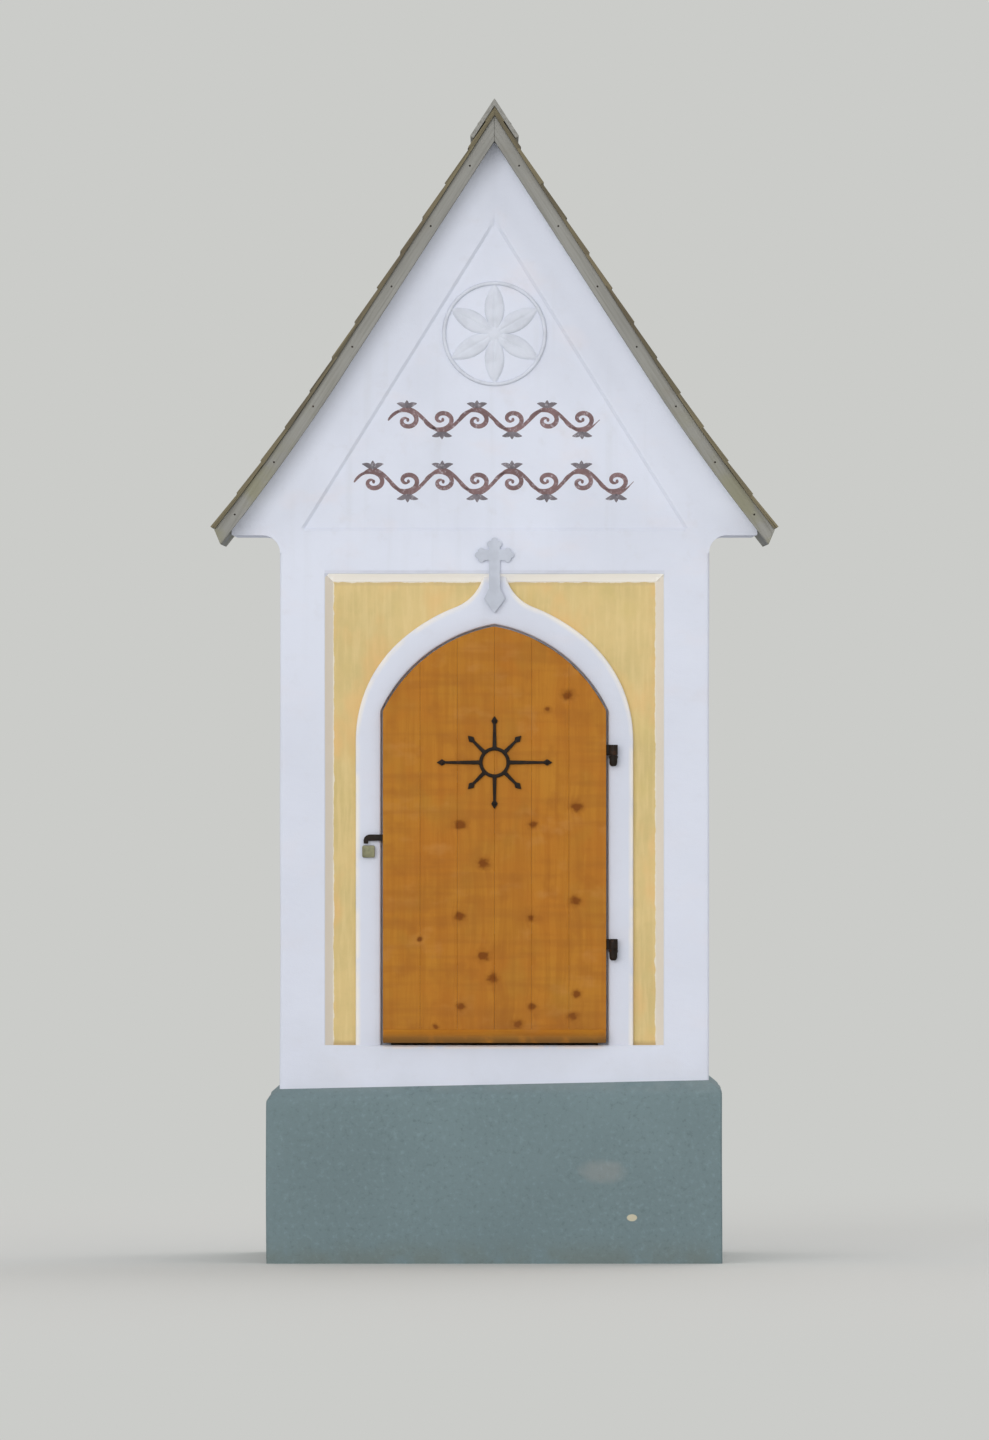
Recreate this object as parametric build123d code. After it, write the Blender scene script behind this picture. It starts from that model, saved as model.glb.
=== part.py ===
from build123d import *
import os
from math import asin, atan2, cos, radians, sin, sqrt, tan

# Wayside shrine: a lime-rendered masonry pillar on a plinth, with a doored niche under an ogee
# surround, a steep gable and a boarded and shingled roof that flares at the eaves.
# Millimetres. X runs to the right, Y into the shrine (its front faces -Y) and Z up.
# The origin is the middle of the base at ground level.

# Masonry body and plinth. The plinth's head slants down to the left, as it was built
BODY_WIDTH = 1224.0
BODY_DEPTH = 1060.0
BACK_WALL = 200.0
PLINTH_HEIGHT = 510.0
PLINTH_STEP = 38.0
PLINTH_BEVEL = 32.0
PLINTH_SLANT = 1.2
RAIL_HEIGHT = 112.0
FLOOR_SLAB = 30.0

# Front relief: depths of the layers that stand in front of the wall's core
FACING_DEPTH = 35.0
SURROUND_DEPTH = 25.0
SURROUND_ARRIS = 5.0
PANEL_DEPTH = 10.0

# Doorway: two arcs that meet in a low point, each centred past the middle of the door
DOOR_WIDTH = 637.0
DOOR_OVER_SILL = 7.0
DOOR_JAMB = 947.0
ARCH_RISE = 241.0
ARCH_CENTRE_PAST_MIDDLE = 78.5
DOOR_GAP = 5.5
DOOR_STOP_REACH = 25.0
DOOR_STOP_GAP = 5.0

# Ogee surround
SURROUND_BAND = 72.0
SURROUND_ARCH_BAND = 78.0
SHOULDER_RADIUS = 380.0
OGEE_RADIUS = 130.0
NECK_WIDTH = 56.0

# Coloured field beside and over the surround, and its bevelled frame
FIELD_STRIP = 65.0
FIELD_ABOVE_ARCH = 122.5
FIELD_BEVEL = 24.0
LINTEL_HEIGHT = 132.0

# Door
DOOR_THICKNESS = 38.0
WEATHERBOARD_HEIGHT = 40.0
WEATHERBOARD_DEPTH = 18.0
WEATHERBOARD_NOSE = 20.0
LEDGE_WIDTH = 90.0
LEDGE_THICKNESS = 22.0
LEDGE_SIDE_GAP = 29.0
BRACE_WIDTH = 80.0
BRACE_END_INSET = 60.0

# Hinges: an eye on the door drops over the pin of a pintle on the surround
UPPER_HINGE_UP = 820.0
LOWER_HINGE_UP = 266.0
PIN_RADIUS = 6.5
PIN_CLEARANCE = 0.08
SEAT_CLEARANCE = 0.3
PIN_OUTSIDE_DOOR = 20.5
EYE_RADIUS = 12.5
EYE_HEIGHT = 30.0
PIN_SHORT_OF_EYE = 2.0
EYE_WALL_GAP = 7.0
TANG_THICKNESS = 6.0
TANG_IN_DOOR = 40.0
KNUCKLE_RADIUS = 11.5
KNUCKLE_HEIGHT = 31.0
PINTLE_PLATE_GAP = 1.5
PINTLE_PLATE_WIDTH = 27.0
PINTLE_PLATE_THICKNESS = 5.0
PINTLE_WEB_WIDTH = 10.0

# Latch bar on the door's free edge, with a turned-down tip, and the keeper's case below it
LATCH_UP = 585.5
LATCH_BAR_WIDTH = 18.0
LATCH_BAR_THICKNESS = 6.0
LATCH_BAR_REACH = 55.0
LATCH_TIP_DROP = 8.0
LATCH_TIP_WIDTH = 13.0
LATCH_WALL_GAP = 8.0
KEEPER_WIDTH = 36.0
KEEPER_HEIGHT = 35.0
KEEPER_DEPTH = 15.0
KEEPER_CORNER = 5.0
KEEPER_GAP = 5.0
KEEPER_PAST_BAR = 4.0

# Iron sun on the door
SUN_BELOW_SPRING = 147.0
SUN_RING_RADIUS = 44.0
SUN_RING_WIDTH = 10.0
SUN_THICKNESS = 6.0
SUN_SIDE_RAY = 165.0
SUN_SLANT_RAY = 108.0
SUN_UPRIGHT_RAY = 133.0
SUN_RAY_ROOT = 12.0
SUN_RAY_TIP = 7.0
SUN_LOZENGE_LENGTH = 30.0
SUN_LOZENGE_WIDTH = 19.0

# Budded cross over the ogee
CROSS_WIDTH = 112.0
CROSS_HEIGHT = 215.0
CROSS_ABOVE_ARCH = 33.0
CROSS_HEAD = 50.0
CROSS_BAR = 31.0
CROSS_BUD_RADIUS = 9.0
CROSS_BUD_STEP = 9.5
CROSS_BUD_SPREAD = 24.0
CROSS_FOOT_WIDTH = 60.0
CROSS_FOOT_POINT = 41.0
CROSS_FOOT_BUD = 70.0
CROSS_RELIEF = 8.0

# Gable, its raised rake band and the rosette in its field
GABLE_THICKNESS = 200.0
GABLE_RELIEF = 8.0
RAKE_BAND_AT_APEX = 235.0
RAKE_BAND_AT_FOOT = 66.0
RAKE_BAND_SILL = 12.0
ROSETTE_RADIUS = 150.0
ROSETTE_CLEARANCE = 15.5
ROSETTE_RING = 12.0
ROSETTE_PETALS = 6
ROSETTE_PETAL_WIDTH = 56.0
ROSETTE_EYE_RADIUS = 22.0

# Coved cornice under the eaves
CORNICE_REACH = 138.0
CORNICE_LIP = 13.0
COVE_RADIUS = 50.0
CORNICE_ON_WALL = 150.0

# Roof: its layers lie square to the underside of the boards, which starts on the cornice's lip
ROOF_PITCH = 57.0
FLARE_RUN = 320.0
FLARE_RADIUS = 6200.0
EAVES_OVERHANG = 31.0
EAVES_TIP_SLANT = 24.0
BOARDING = 40.0
SHINGLING = 14.0
RIDGE_CAP_THICKNESS = 12.0
RIDGE_CAP_WIDTH = 110.0
VERGE_REACH = 80.0
BARGEBOARD = 22.0
SHINGLE_VERGE = 12.0

# Depths worked out from the sizes above, front to back
front = -BODY_DEPTH / 2
back = BODY_DEPTH / 2
core_front = front + FACING_DEPTH
niche_back = back - BACK_WALL
surround_front = core_front - SURROUND_DEPTH
panel_front = core_front - PANEL_DEPTH
gable_front = front + GABLE_RELIEF
gable_inner = gable_front + GABLE_THICKNESS
door_back = core_front - DOOR_STOP_GAP
door_front = door_back - DOOR_THICKNESS

# Half widths, from the middle of the door out
door_half = DOOR_WIDTH / 2
opening_half = door_half + DOOR_GAP
niche_half = opening_half - DOOR_STOP_REACH
jamb_outer = opening_half + SURROUND_BAND
field_half = jamb_outer + FIELD_STRIP
body_half = BODY_WIDTH / 2
cornice_outer = body_half + CORNICE_REACH
pin_x = door_half + PIN_OUTSIDE_DOOR
pin_y = surround_front - EYE_WALL_GAP - EYE_RADIUS

# Centre and radius of the door's right-hand arc
arch_x = -ARCH_CENTRE_PAST_MIDDLE
arch_drop = (door_half**2 - 2 * door_half * arch_x - ARCH_RISE**2) / (2 * ARCH_RISE)
arch_radius = sqrt((door_half - arch_x) ** 2 + arch_drop**2)

# Heights, from the ground up
sill_top = PLINTH_HEIGHT + RAIL_HEIGHT
floor_bottom = sill_top - FLOOR_SLAB
door_bottom = sill_top + DOOR_OVER_SILL
door_spring = door_bottom + DOOR_JAMB
arch_z = door_spring - arch_drop
opening_apex = arch_z + sqrt((arch_radius + DOOR_GAP) ** 2 - arch_x**2)
field_top = opening_apex + FIELD_ABOVE_ARCH
wall_top = field_top + LINTEL_HEIGHT
hinge_heights = {"upper": door_bottom + UPPER_HINGE_UP, "lower": door_bottom + LOWER_HINGE_UP}
latch_low = door_bottom + LATCH_UP - LATCH_BAR_WIDTH / 2
latch_tip = latch_low - LATCH_TIP_DROP

# Roof line: a straight upper slope, then the flare's arc about a centre outside the roof
pitch = radians(ROOF_PITCH)
flare_start = cornice_outer - FLARE_RUN
flare_x = flare_start + FLARE_RADIUS * sin(pitch)
lip_slope = asin((flare_x - cornice_outer) / FLARE_RADIUS)
flare_z = wall_top + CORNICE_LIP + FLARE_RADIUS * cos(lip_slope)
roof_apex = flare_z - FLARE_RADIUS * cos(pitch) + flare_start * tan(pitch)
roof_thickness = BOARDING + SHINGLING
eaves_reach = cornice_outer + EAVES_OVERHANG

# Sunk field of the gable, and the rosette as high in it as its clearance to the rake band lets it
gable_field_half = body_half - RAKE_BAND_AT_FOOT
gable_field_foot = wall_top + RAKE_BAND_SILL
gable_field_apex = roof_apex - RAKE_BAND_AT_APEX
rake_lean = atan2(gable_field_half, gable_field_apex - gable_field_foot)
rosette_height = gable_field_apex - (ROSETTE_RADIUS + ROSETTE_CLEARANCE) / sin(rake_lean)


def slab(face, y_front, y_back):
    """A face drawn in X and Z, given its depth from y_front back to y_back."""
    return extrude(Plane.XZ.offset(-y_back) * face, y_back - y_front)


def block(x_span, y_span, z_span):
    """A box between two places on each axis."""
    low, high = zip(x_span, y_span, z_span)
    size = [b - a for a, b in zip(low, high)]
    return Pos(*[(a + b) / 2 for a, b in zip(low, high)]) * Box(*size)


def face_of(*curves):
    """The face inside a closed chain of curves."""
    return make_face([edge for curve in curves for edge in curve.edges()])


def left_of(part):
    """The mirror image of a right-hand piece."""
    return mirror(part, about=Plane.YZ)


def arc_about(centre, start, end):
    """The shorter arc from start to end about a centre that is as far from both."""
    radius = sqrt((start[0] - centre[0]) ** 2 + (start[1] - centre[1]) ** 2)
    middle = ((start[0] + end[0]) / 2 - centre[0], (start[1] + end[1]) / 2 - centre[1])
    stretch = radius / sqrt(middle[0] ** 2 + middle[1] ** 2)
    through = (centre[0] + middle[0] * stretch, centre[1] + middle[1] * stretch)
    return ThreePointArc(start, through, end)


def arch_spring(grow):
    """Height at which the arch, grown by an even margin, leaves its upright jamb."""
    return arch_z + sqrt((arch_radius + grow) ** 2 - (door_half + grow - arch_x) ** 2)


def arch_apex(grow):
    """Height of the arch's point, grown by an even margin."""
    return arch_z + sqrt((arch_radius + grow) ** 2 - arch_x**2)


def arch_face(grow, bottom):
    """The door's outline, grown by an even margin and cut level at the bottom."""
    half = door_half + grow
    spring = (half, arch_spring(grow))
    apex = (0, arch_apex(grow))
    mirrored = (-half, spring[1])
    return face_of(
        Polyline(mirrored, (-half, bottom), (half, bottom), spring),
        arc_about((arch_x, arch_z), spring, apex),
        arc_about((-arch_x, arch_z), apex, mirrored),
    )


def ogee_face(top):
    """Outer outline of the surround: upright jambs, round shoulders and a reversed curve to a neck."""
    outer = arch_radius + DOOR_GAP + SURROUND_ARCH_BAND
    shoulder_x = jamb_outer - SHOULDER_RADIUS
    inside = outer - SHOULDER_RADIUS
    shoulder_z = arch_z + sqrt(inside**2 - (shoulder_x - arch_x) ** 2)
    share = outer / inside
    shoulder_end = (arch_x + (shoulder_x - arch_x) * share, arch_z + (shoulder_z - arch_z) * share)
    neck_x = NECK_WIDTH / 2 + OGEE_RADIUS
    apart = outer + OGEE_RADIUS
    neck_z = arch_z + sqrt(apart**2 - (neck_x - arch_x) ** 2)
    share = outer / apart
    reverse = (arch_x + (neck_x - arch_x) * share, arch_z + (neck_z - arch_z) * share)
    tip = (neck_x - sqrt(OGEE_RADIUS**2 - (neck_z - top) ** 2), top)
    right = [
        Line((jamb_outer, sill_top), (jamb_outer, shoulder_z)),
        arc_about((shoulder_x, shoulder_z), (jamb_outer, shoulder_z), shoulder_end),
        arc_about((arch_x, arch_z), shoulder_end, reverse),
        arc_about((neck_x, neck_z), reverse, tip),
    ]
    left = [mirror(curve, about=Plane.YZ) for curve in right]
    ends = [
        Line((-jamb_outer, sill_top), (jamb_outer, sill_top)),
        Line((-tip[0], top), tip),
    ]
    return face_of(*right, *left, *ends)


def slanted(height, x):
    """Height at x of a course that slants with the plinth's head and is this high in the middle."""
    return height + x * tan(radians(PLINTH_SLANT))


def slanted_course(half, low, top):
    """Outline of a course over the plinth: its foot slants and its top is level."""
    return make_face(Polyline(
        (-half, slanted(low, -half)),
        (half, slanted(low, half)),
        (half, top),
        (-half, top),
        close=True,
    ).edges())


def slanted_rectangle(height, half_x, half_y):
    """Level outline of the body or plinth, laid on the slanting plane at a height."""
    slant = radians(PLINTH_SLANT)
    rise, run = sin(slant), cos(slant)
    plane = Plane(origin=(0, 0, height), x_dir=(run, 0, rise), z_dir=(-rise, 0, run))
    return plane * Rectangle(2 * half_x / run, 2 * half_y)


def plinth():
    """Solid plinth with a weathered top that runs up to the wall."""
    half_x = body_half + PLINTH_STEP
    half_y = back + PLINTH_STEP
    arris = PLINTH_HEIGHT - PLINTH_BEVEL
    upright = make_face(Polyline(
        (-half_x, 0),
        (half_x, 0),
        (half_x, slanted(arris, half_x)),
        (-half_x, slanted(arris, -half_x)),
        close=True,
    ).edges())
    foot = slanted_rectangle(arris, half_x, half_y)
    head = slanted_rectangle(PLINTH_HEIGHT, body_half, back)
    return slab(upright, -half_y, half_y) + loft([foot, head])


def floor_course():
    """Masonry between the plinth and the niche's floor."""
    return slab(slanted_course(body_half, PLINTH_HEIGHT, floor_bottom), core_front, back)


def niche_floor():
    """Stone slab that floors the niche."""
    return block((-niche_half, niche_half), (core_front, niche_back), (floor_bottom, sill_top))


def side_wall_right():
    """Wall beside the niche, up to the spring of its vault."""
    top = arch_spring(DOOR_GAP - DOOR_STOP_REACH)
    return block((niche_half, body_half), (core_front, niche_back), (floor_bottom, top))


def back_wall():
    """Wall behind the niche."""
    return block((-body_half, body_half), (niche_back, back), (floor_bottom, wall_top))


def niche_vault():
    """Masonry over the niche, with the pointed vault cut along it."""
    grow = DOOR_GAP - DOOR_STOP_REACH
    spring = arch_spring(grow)
    mass = block((-body_half, body_half), (core_front, niche_back), (spring, wall_top))
    return mass - slab(arch_face(grow, sill_top), core_front, niche_back)


def front_frame():
    """Pilasters and lintel in one, with the bevel that frames the coloured field."""
    mass = block((-body_half, body_half), (front, core_front), (sill_top, wall_top))
    field = block((-field_half, field_half), (front, core_front), (sill_top, field_top))
    wide_half = field_half + FIELD_BEVEL
    wide_top = field_top + FIELD_BEVEL
    narrow = Pos(0, (sill_top + field_top) / 2) * Rectangle(2 * field_half, field_top - sill_top)
    wide = Pos(0, (sill_top + wide_top) / 2) * Rectangle(2 * wide_half, wide_top - sill_top)
    bevel = loft([Plane.XZ.offset(-panel_front) * narrow, Plane.XZ.offset(-front) * wide])
    return mass - field - bevel


def lintel():
    """Band over the coloured field, with the bevel's mitred corners."""
    keep = block((-body_half, body_half), (front, core_front), (field_top, wall_top))
    return front_frame() & keep


def pilaster_right():
    """Corner pilaster with its bevelled inner edge."""
    keep = block((0, body_half), (front, core_front), (sill_top, field_top))
    return front_frame() & keep


def bottom_rail():
    """White rail between the plinth and the coloured field."""
    return slab(slanted_course(body_half, PLINTH_HEIGHT, sill_top), front, core_front)


def arch_surround():
    """Raised ogee surround of the doorway with a worn arris, seated under the lintel's bevel."""
    band = slab(ogee_face(field_top + FIELD_BEVEL), surround_front, core_front)
    rim = band.faces().sort_by(Axis.Y)[0].edges()
    band = fillet(rim - rim.filter_by(Axis.X), SURROUND_ARRIS)
    return band - slab(arch_face(DOOR_GAP, sill_top), surround_front, core_front) - lintel()


def panel_right():
    """Coloured render between the surround and the pilaster."""
    sheet = Pos(field_half / 2, (sill_top + field_top) / 2) * Rectangle(field_half, field_top - sill_top)
    return slab(sheet - ogee_face(field_top), panel_front, core_front)


def bud_end(reach):
    """Three buds that end an arm of the cross, drawn on an arm that runs along +X."""
    tip_x = reach - CROSS_BUD_RADIUS
    side_x = tip_x - CROSS_BUD_STEP
    arm = Pos(tip_x / 2, 0) * Rectangle(tip_x, CROSS_BAR)
    arm += Pos(tip_x, 0) * Circle(CROSS_BUD_RADIUS)
    for way in (-1, 1):
        arm += Pos(side_x, way * CROSS_BUD_SPREAD / 2) * Circle(CROSS_BUD_RADIUS)
    return arm


def cross():
    """Budded cross on the ogee's tip, with a pointed bud for a foot, seated on surround and lintel."""
    bottom = opening_apex + CROSS_ABOVE_ARCH
    middle = bottom + CROSS_HEIGHT - CROSS_HEAD
    arms = Sketch()
    for turn, reach in ((0, CROSS_WIDTH / 2), (180, CROSS_WIDTH / 2), (90, CROSS_HEAD)):
        arms += Rot(0, 0, turn) * bud_end(reach)
    half_bar = CROSS_BAR / 2
    half_foot = CROSS_FOOT_WIDTH / 2
    shaft = make_face(Polyline(
        (-half_bar, middle),
        (-half_bar, bottom + CROSS_FOOT_BUD),
        (-half_foot, bottom + CROSS_FOOT_POINT),
        (0, bottom),
        (half_foot, bottom + CROSS_FOOT_POINT),
        (half_bar, bottom + CROSS_FOOT_BUD),
        (half_bar, middle),
        close=True,
    ).edges())
    return slab(Pos(0, middle) * arms + shaft, front - CROSS_RELIEF, surround_front) - lintel()


def roof_point(x, above):
    """The point at x on the right slope's surface that lies a distance above the underside."""
    if x <= flare_start + above * sin(pitch):
        return (x, roof_apex + above / cos(pitch) - x * tan(pitch))
    slope = asin((flare_x - x) / (FLARE_RADIUS - above))
    return (x, flare_z - (FLARE_RADIUS - above) * cos(slope))


def roof_line(x_start, x_end, above):
    """Curves along the right slope from x_start down to x_end: straight, then the flare's arc."""
    bend_x = flare_start + above * sin(pitch)
    if x_end <= bend_x:
        return [Line(roof_point(x_start, above), roof_point(x_end, above))]
    curves = []
    arc_start = max(x_start, bend_x)
    if x_start < bend_x:
        curves.append(Line(roof_point(x_start, above), roof_point(bend_x, above)))
    middle = roof_point((arc_start + x_end) / 2, above)
    curves.append(ThreePointArc(roof_point(arc_start, above), middle, roof_point(x_end, above)))
    return curves


def eaves_x(above):
    """Where the slope ends at the eaves, on the surface that far above the underside."""
    return eaves_reach + EAVES_TIP_SLANT * above / roof_thickness


def slope_face(low, high):
    """Section of one layer of the right slope, from the ridge to the eaves."""
    lower = roof_line(0, eaves_x(low), low)
    upper = roof_line(0, eaves_x(high), high)
    ridge = Line(roof_point(0, low), roof_point(0, high))
    tip = Line(roof_point(eaves_x(low), low), roof_point(eaves_x(high), high))
    return face_of(*lower, *upper, ridge, tip)


def gable_face():
    """The gable wall's outline, from the wall top to the roof boards."""
    right = roof_line(0, body_half, 0)
    left = [mirror(curve, about=Plane.YZ) for curve in right]
    eaves = roof_point(body_half, 0)[1]
    wall = [(body_half, eaves), (body_half, wall_top), (-body_half, wall_top), (-body_half, eaves)]
    return face_of(*right, *left, Polyline(*wall))


def gable_wall_front():
    """Front gable, set back so that the rake band stands proud of it."""
    return slab(gable_face(), gable_front, gable_inner)


def gable_wall_back():
    """Plain gable at the back."""
    return slab(gable_face(), niche_back, back)


def rake_band():
    """Raised band along the front gable's rakes and foot, round a sunk triangular field."""
    field = make_face(Polyline(
        (-gable_field_half, gable_field_foot),
        (gable_field_half, gable_field_foot),
        (0, gable_field_apex),
        close=True,
    ).edges())
    return slab(gable_face() - field, front, gable_front)


def gable_rosette():
    """Petalled rosette in a ring, in low relief on the gable's field."""
    ring = Circle(ROSETTE_RADIUS) - Circle(ROSETTE_RADIUS - ROSETTE_RING)
    length = ROSETTE_RADIUS - ROSETTE_RING / 2
    bulge = ROSETTE_PETAL_WIDTH / 2
    petal = face_of(
        ThreePointArc((0, 0), (length / 2, bulge), (length, 0)),
        ThreePointArc((length, 0), (length / 2, -bulge), (0, 0)),
    )
    outline = ring + Circle(ROSETTE_EYE_RADIUS)
    for step in range(ROSETTE_PETALS):
        outline += Rot(0, 0, 90 + 360 * step / ROSETTE_PETALS) * petal
    return slab(Pos(0, rosette_height) * outline, front, gable_front)


def eaves_cornice_right():
    """Coved cornice along the side: the cove, the flat soffit and the masonry that backs them."""
    hollow = (body_half + COVE_RADIUS, wall_top - COVE_RADIUS)
    cove_end = (body_half + COVE_RADIUS, wall_top)
    cove_start = (body_half, wall_top - COVE_RADIUS)
    section = face_of(
        arc_about(hollow, cove_start, cove_end),
        Polyline(cove_end, (cornice_outer, wall_top), roof_point(cornice_outer, 0)),
        *roof_line(body_half, cornice_outer, 0),
        Line(roof_point(body_half, 0), cove_start),
    )
    inner_x = body_half - CORNICE_ON_WALL
    foot = [(inner_x, wall_top), (body_half, wall_top)]
    on_wall = face_of(
        *roof_line(inner_x, body_half, 0),
        Polyline(roof_point(inner_x, 0), *foot, roof_point(body_half, 0)),
    )
    return slab(section, front, back) + slab(on_wall, gable_inner, niche_back)


def roof_boards_right():
    """Boarding of one slope, between the bargeboards."""
    reach = back + VERGE_REACH - BARGEBOARD
    return slab(slope_face(0, BOARDING), -reach, reach)


def bargeboard_right(y_front):
    """Verge board that closes the boarding's edge."""
    return slab(slope_face(0, BOARDING), y_front, y_front + BARGEBOARD)


def roof_shingles_right():
    """Shingle layer of one slope, past the bargeboards by a drip."""
    reach = back + VERGE_REACH + SHINGLE_VERGE
    return slab(slope_face(BOARDING, roof_thickness), -reach, reach)


def ridge_cap():
    """Two boards over the ridge."""
    reach = back + VERGE_REACH + SHINGLE_VERGE
    top = roof_thickness + RIDGE_CAP_THICKNESS
    run = RIDGE_CAP_WIDTH * cos(pitch)
    low = roof_point(run, roof_thickness)
    high = (low[0] + RIDGE_CAP_THICKNESS * sin(pitch), low[1] + RIDGE_CAP_THICKNESS * cos(pitch))
    section = make_face(Polyline(
        roof_point(0, roof_thickness),
        low,
        high,
        roof_point(0, top),
        (-high[0], high[1]),
        (-low[0], low[1]),
        close=True,
    ).edges())
    return slab(section, -reach, reach)


def tang_span():
    """Front and back of the hinge eyes' tangs, which leave the eye at its wall side."""
    tang_back = pin_y + EYE_RADIUS
    return (tang_back - TANG_THICKNESS, tang_back)


def hinge_tang(height):
    """Flat tang of a hinge eye, let into the door's edge."""
    low = height + SEAT_CLEARANCE
    return block((door_half - TANG_IN_DOOR, pin_x), tang_span(), (low, low + EYE_HEIGHT))


def hinge_eye(height):
    """Rolled eye that turns on the pintle's pin, with its tang."""
    low = height + SEAT_CLEARANCE
    place = Pos(pin_x, pin_y, low + EYE_HEIGHT / 2)
    bore = place * Cylinder(PIN_RADIUS + PIN_CLEARANCE, EYE_HEIGHT)
    return hinge_tang(height) + place * Cylinder(EYE_RADIUS, EYE_HEIGHT) - bore


def pintle(height):
    """Pintle on the surround: a wall plate, a knuckle that carries the eye, and the pin."""
    low = height - KNUCKLE_HEIGHT
    span = (low, height)
    plate_x = opening_half + PINTLE_PLATE_GAP
    plate_y = (surround_front - PINTLE_PLATE_THICKNESS, surround_front)
    half_web = PINTLE_WEB_WIDTH / 2
    plate = block((plate_x, plate_x + PINTLE_PLATE_WIDTH), plate_y, span)
    web = block((pin_x - half_web, pin_x + half_web), (pin_y, surround_front), span)
    knuckle = Pos(pin_x, pin_y, low + KNUCKLE_HEIGHT / 2) * Cylinder(KNUCKLE_RADIUS, KNUCKLE_HEIGHT)
    pin_top = height + SEAT_CLEARANCE + EYE_HEIGHT - PIN_SHORT_OF_EYE
    pin = Pos(pin_x, pin_y, (height + pin_top) / 2) * Cylinder(PIN_RADIUS, pin_top - height)
    return plate + web + knuckle + pin


def latch_bar():
    """Flat bar let into the door's free edge, which reaches over the surround and turns down."""
    end = -door_half - LATCH_BAR_REACH
    shoulder = end + LATCH_BAR_WIDTH
    top = latch_low + LATCH_BAR_WIDTH
    outline = face_of(
        Line((-door_half + TANG_IN_DOOR, latch_low), (-door_half + TANG_IN_DOOR, top)),
        Line((-door_half + TANG_IN_DOOR, top), (shoulder, top)),
        arc_about((shoulder, latch_low), (shoulder, top), (end, latch_low)),
        Polyline(
            (end, latch_low),
            (end, latch_tip),
            (end + LATCH_TIP_WIDTH, latch_tip),
            (end + LATCH_TIP_WIDTH, latch_low),
            (-door_half + TANG_IN_DOOR, latch_low),
        ),
    )
    bar_back = surround_front - LATCH_WALL_GAP
    return slab(outline, bar_back - LATCH_BAR_THICKNESS, bar_back)


def latch_keeper():
    """Small round-cornered case on the surround, just under the tip of the latch bar."""
    middle = -door_half - LATCH_BAR_REACH - KEEPER_PAST_BAR + KEEPER_WIDTH / 2
    height = latch_tip - KEEPER_GAP - KEEPER_HEIGHT / 2
    outline = Pos(middle, height) * RectangleRounded(KEEPER_WIDTH, KEEPER_HEIGHT, KEEPER_CORNER)
    return slab(outline, surround_front - KEEPER_DEPTH, surround_front)


def door_leaf():
    """Boarded leaf with the arch's outline, mortised for the tangs and the latch bar."""
    leaf = slab(arch_face(0, door_bottom), door_front, door_back)
    for height in hinge_heights.values():
        leaf -= hinge_tang(height)
    return leaf - latch_bar()


def door_weatherboard():
    """Drip board across the foot of the leaf, with a sloped top."""
    nose_front = door_front - WEATHERBOARD_DEPTH
    section = make_face(Polyline(
        (door_front, door_bottom),
        (nose_front, door_bottom),
        (nose_front, door_bottom + WEATHERBOARD_NOSE),
        (door_front, door_bottom + WEATHERBOARD_HEIGHT),
        close=True,
    ).edges())
    return extrude(Plane.YZ.offset(-door_half) * section, DOOR_WIDTH)


def door_ledge(height):
    """Ledge across the back of the leaf, at hinge height."""
    half = niche_half - LEDGE_SIDE_GAP
    span = (height - LEDGE_WIDTH / 2, height + LEDGE_WIDTH / 2)
    return block((-half, half), (door_back, door_back + LEDGE_THICKNESS), span)


def door_brace():
    """Diagonal brace between the ledges, rising away from the hinges."""
    low = hinge_heights["lower"] + LEDGE_WIDTH / 2
    high = hinge_heights["upper"] - LEDGE_WIDTH / 2
    outer = niche_half - LEDGE_SIDE_GAP - BRACE_END_INSET
    outline = make_face(Polyline(
        (outer - BRACE_WIDTH, low),
        (outer, low),
        (-outer + BRACE_WIDTH, high),
        (-outer, high),
        close=True,
    ).edges())
    return slab(outline, door_back, door_back + LEDGE_THICKNESS)


def sun_ray(reach):
    """One tapered ray with a lozenge at its tip, along +X."""
    start = SUN_RING_RADIUS - SUN_RING_WIDTH / 2
    lozenge_start = reach - SUN_LOZENGE_LENGTH
    middle = reach - SUN_LOZENGE_LENGTH / 2
    half_root = SUN_RAY_ROOT / 2
    half_tip = SUN_RAY_TIP / 2
    bar = make_face(Polyline(
        (start, -half_root),
        (middle, -half_tip),
        (middle, half_tip),
        (start, half_root),
        close=True,
    ).edges())
    lozenge = make_face(Polyline(
        (lozenge_start, 0),
        (middle, -SUN_LOZENGE_WIDTH / 2),
        (reach, 0),
        (middle, SUN_LOZENGE_WIDTH / 2),
        close=True,
    ).edges())
    return bar + lozenge


def door_sun():
    """Flat iron sun on the door: a ring with tapered rays."""
    outline = Circle(SUN_RING_RADIUS) - Circle(SUN_RING_RADIUS - SUN_RING_WIDTH)
    rays = [SUN_SIDE_RAY, SUN_SLANT_RAY, SUN_UPRIGHT_RAY, SUN_SLANT_RAY] * 2
    for step, reach in enumerate(rays):
        outline += Rot(0, 0, 360 * step / len(rays)) * sun_ray(reach)
    middle = Pos(0, door_spring - SUN_BELOW_SPRING)
    return slab(middle * outline, door_front - SUN_THICKNESS, door_front)


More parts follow.
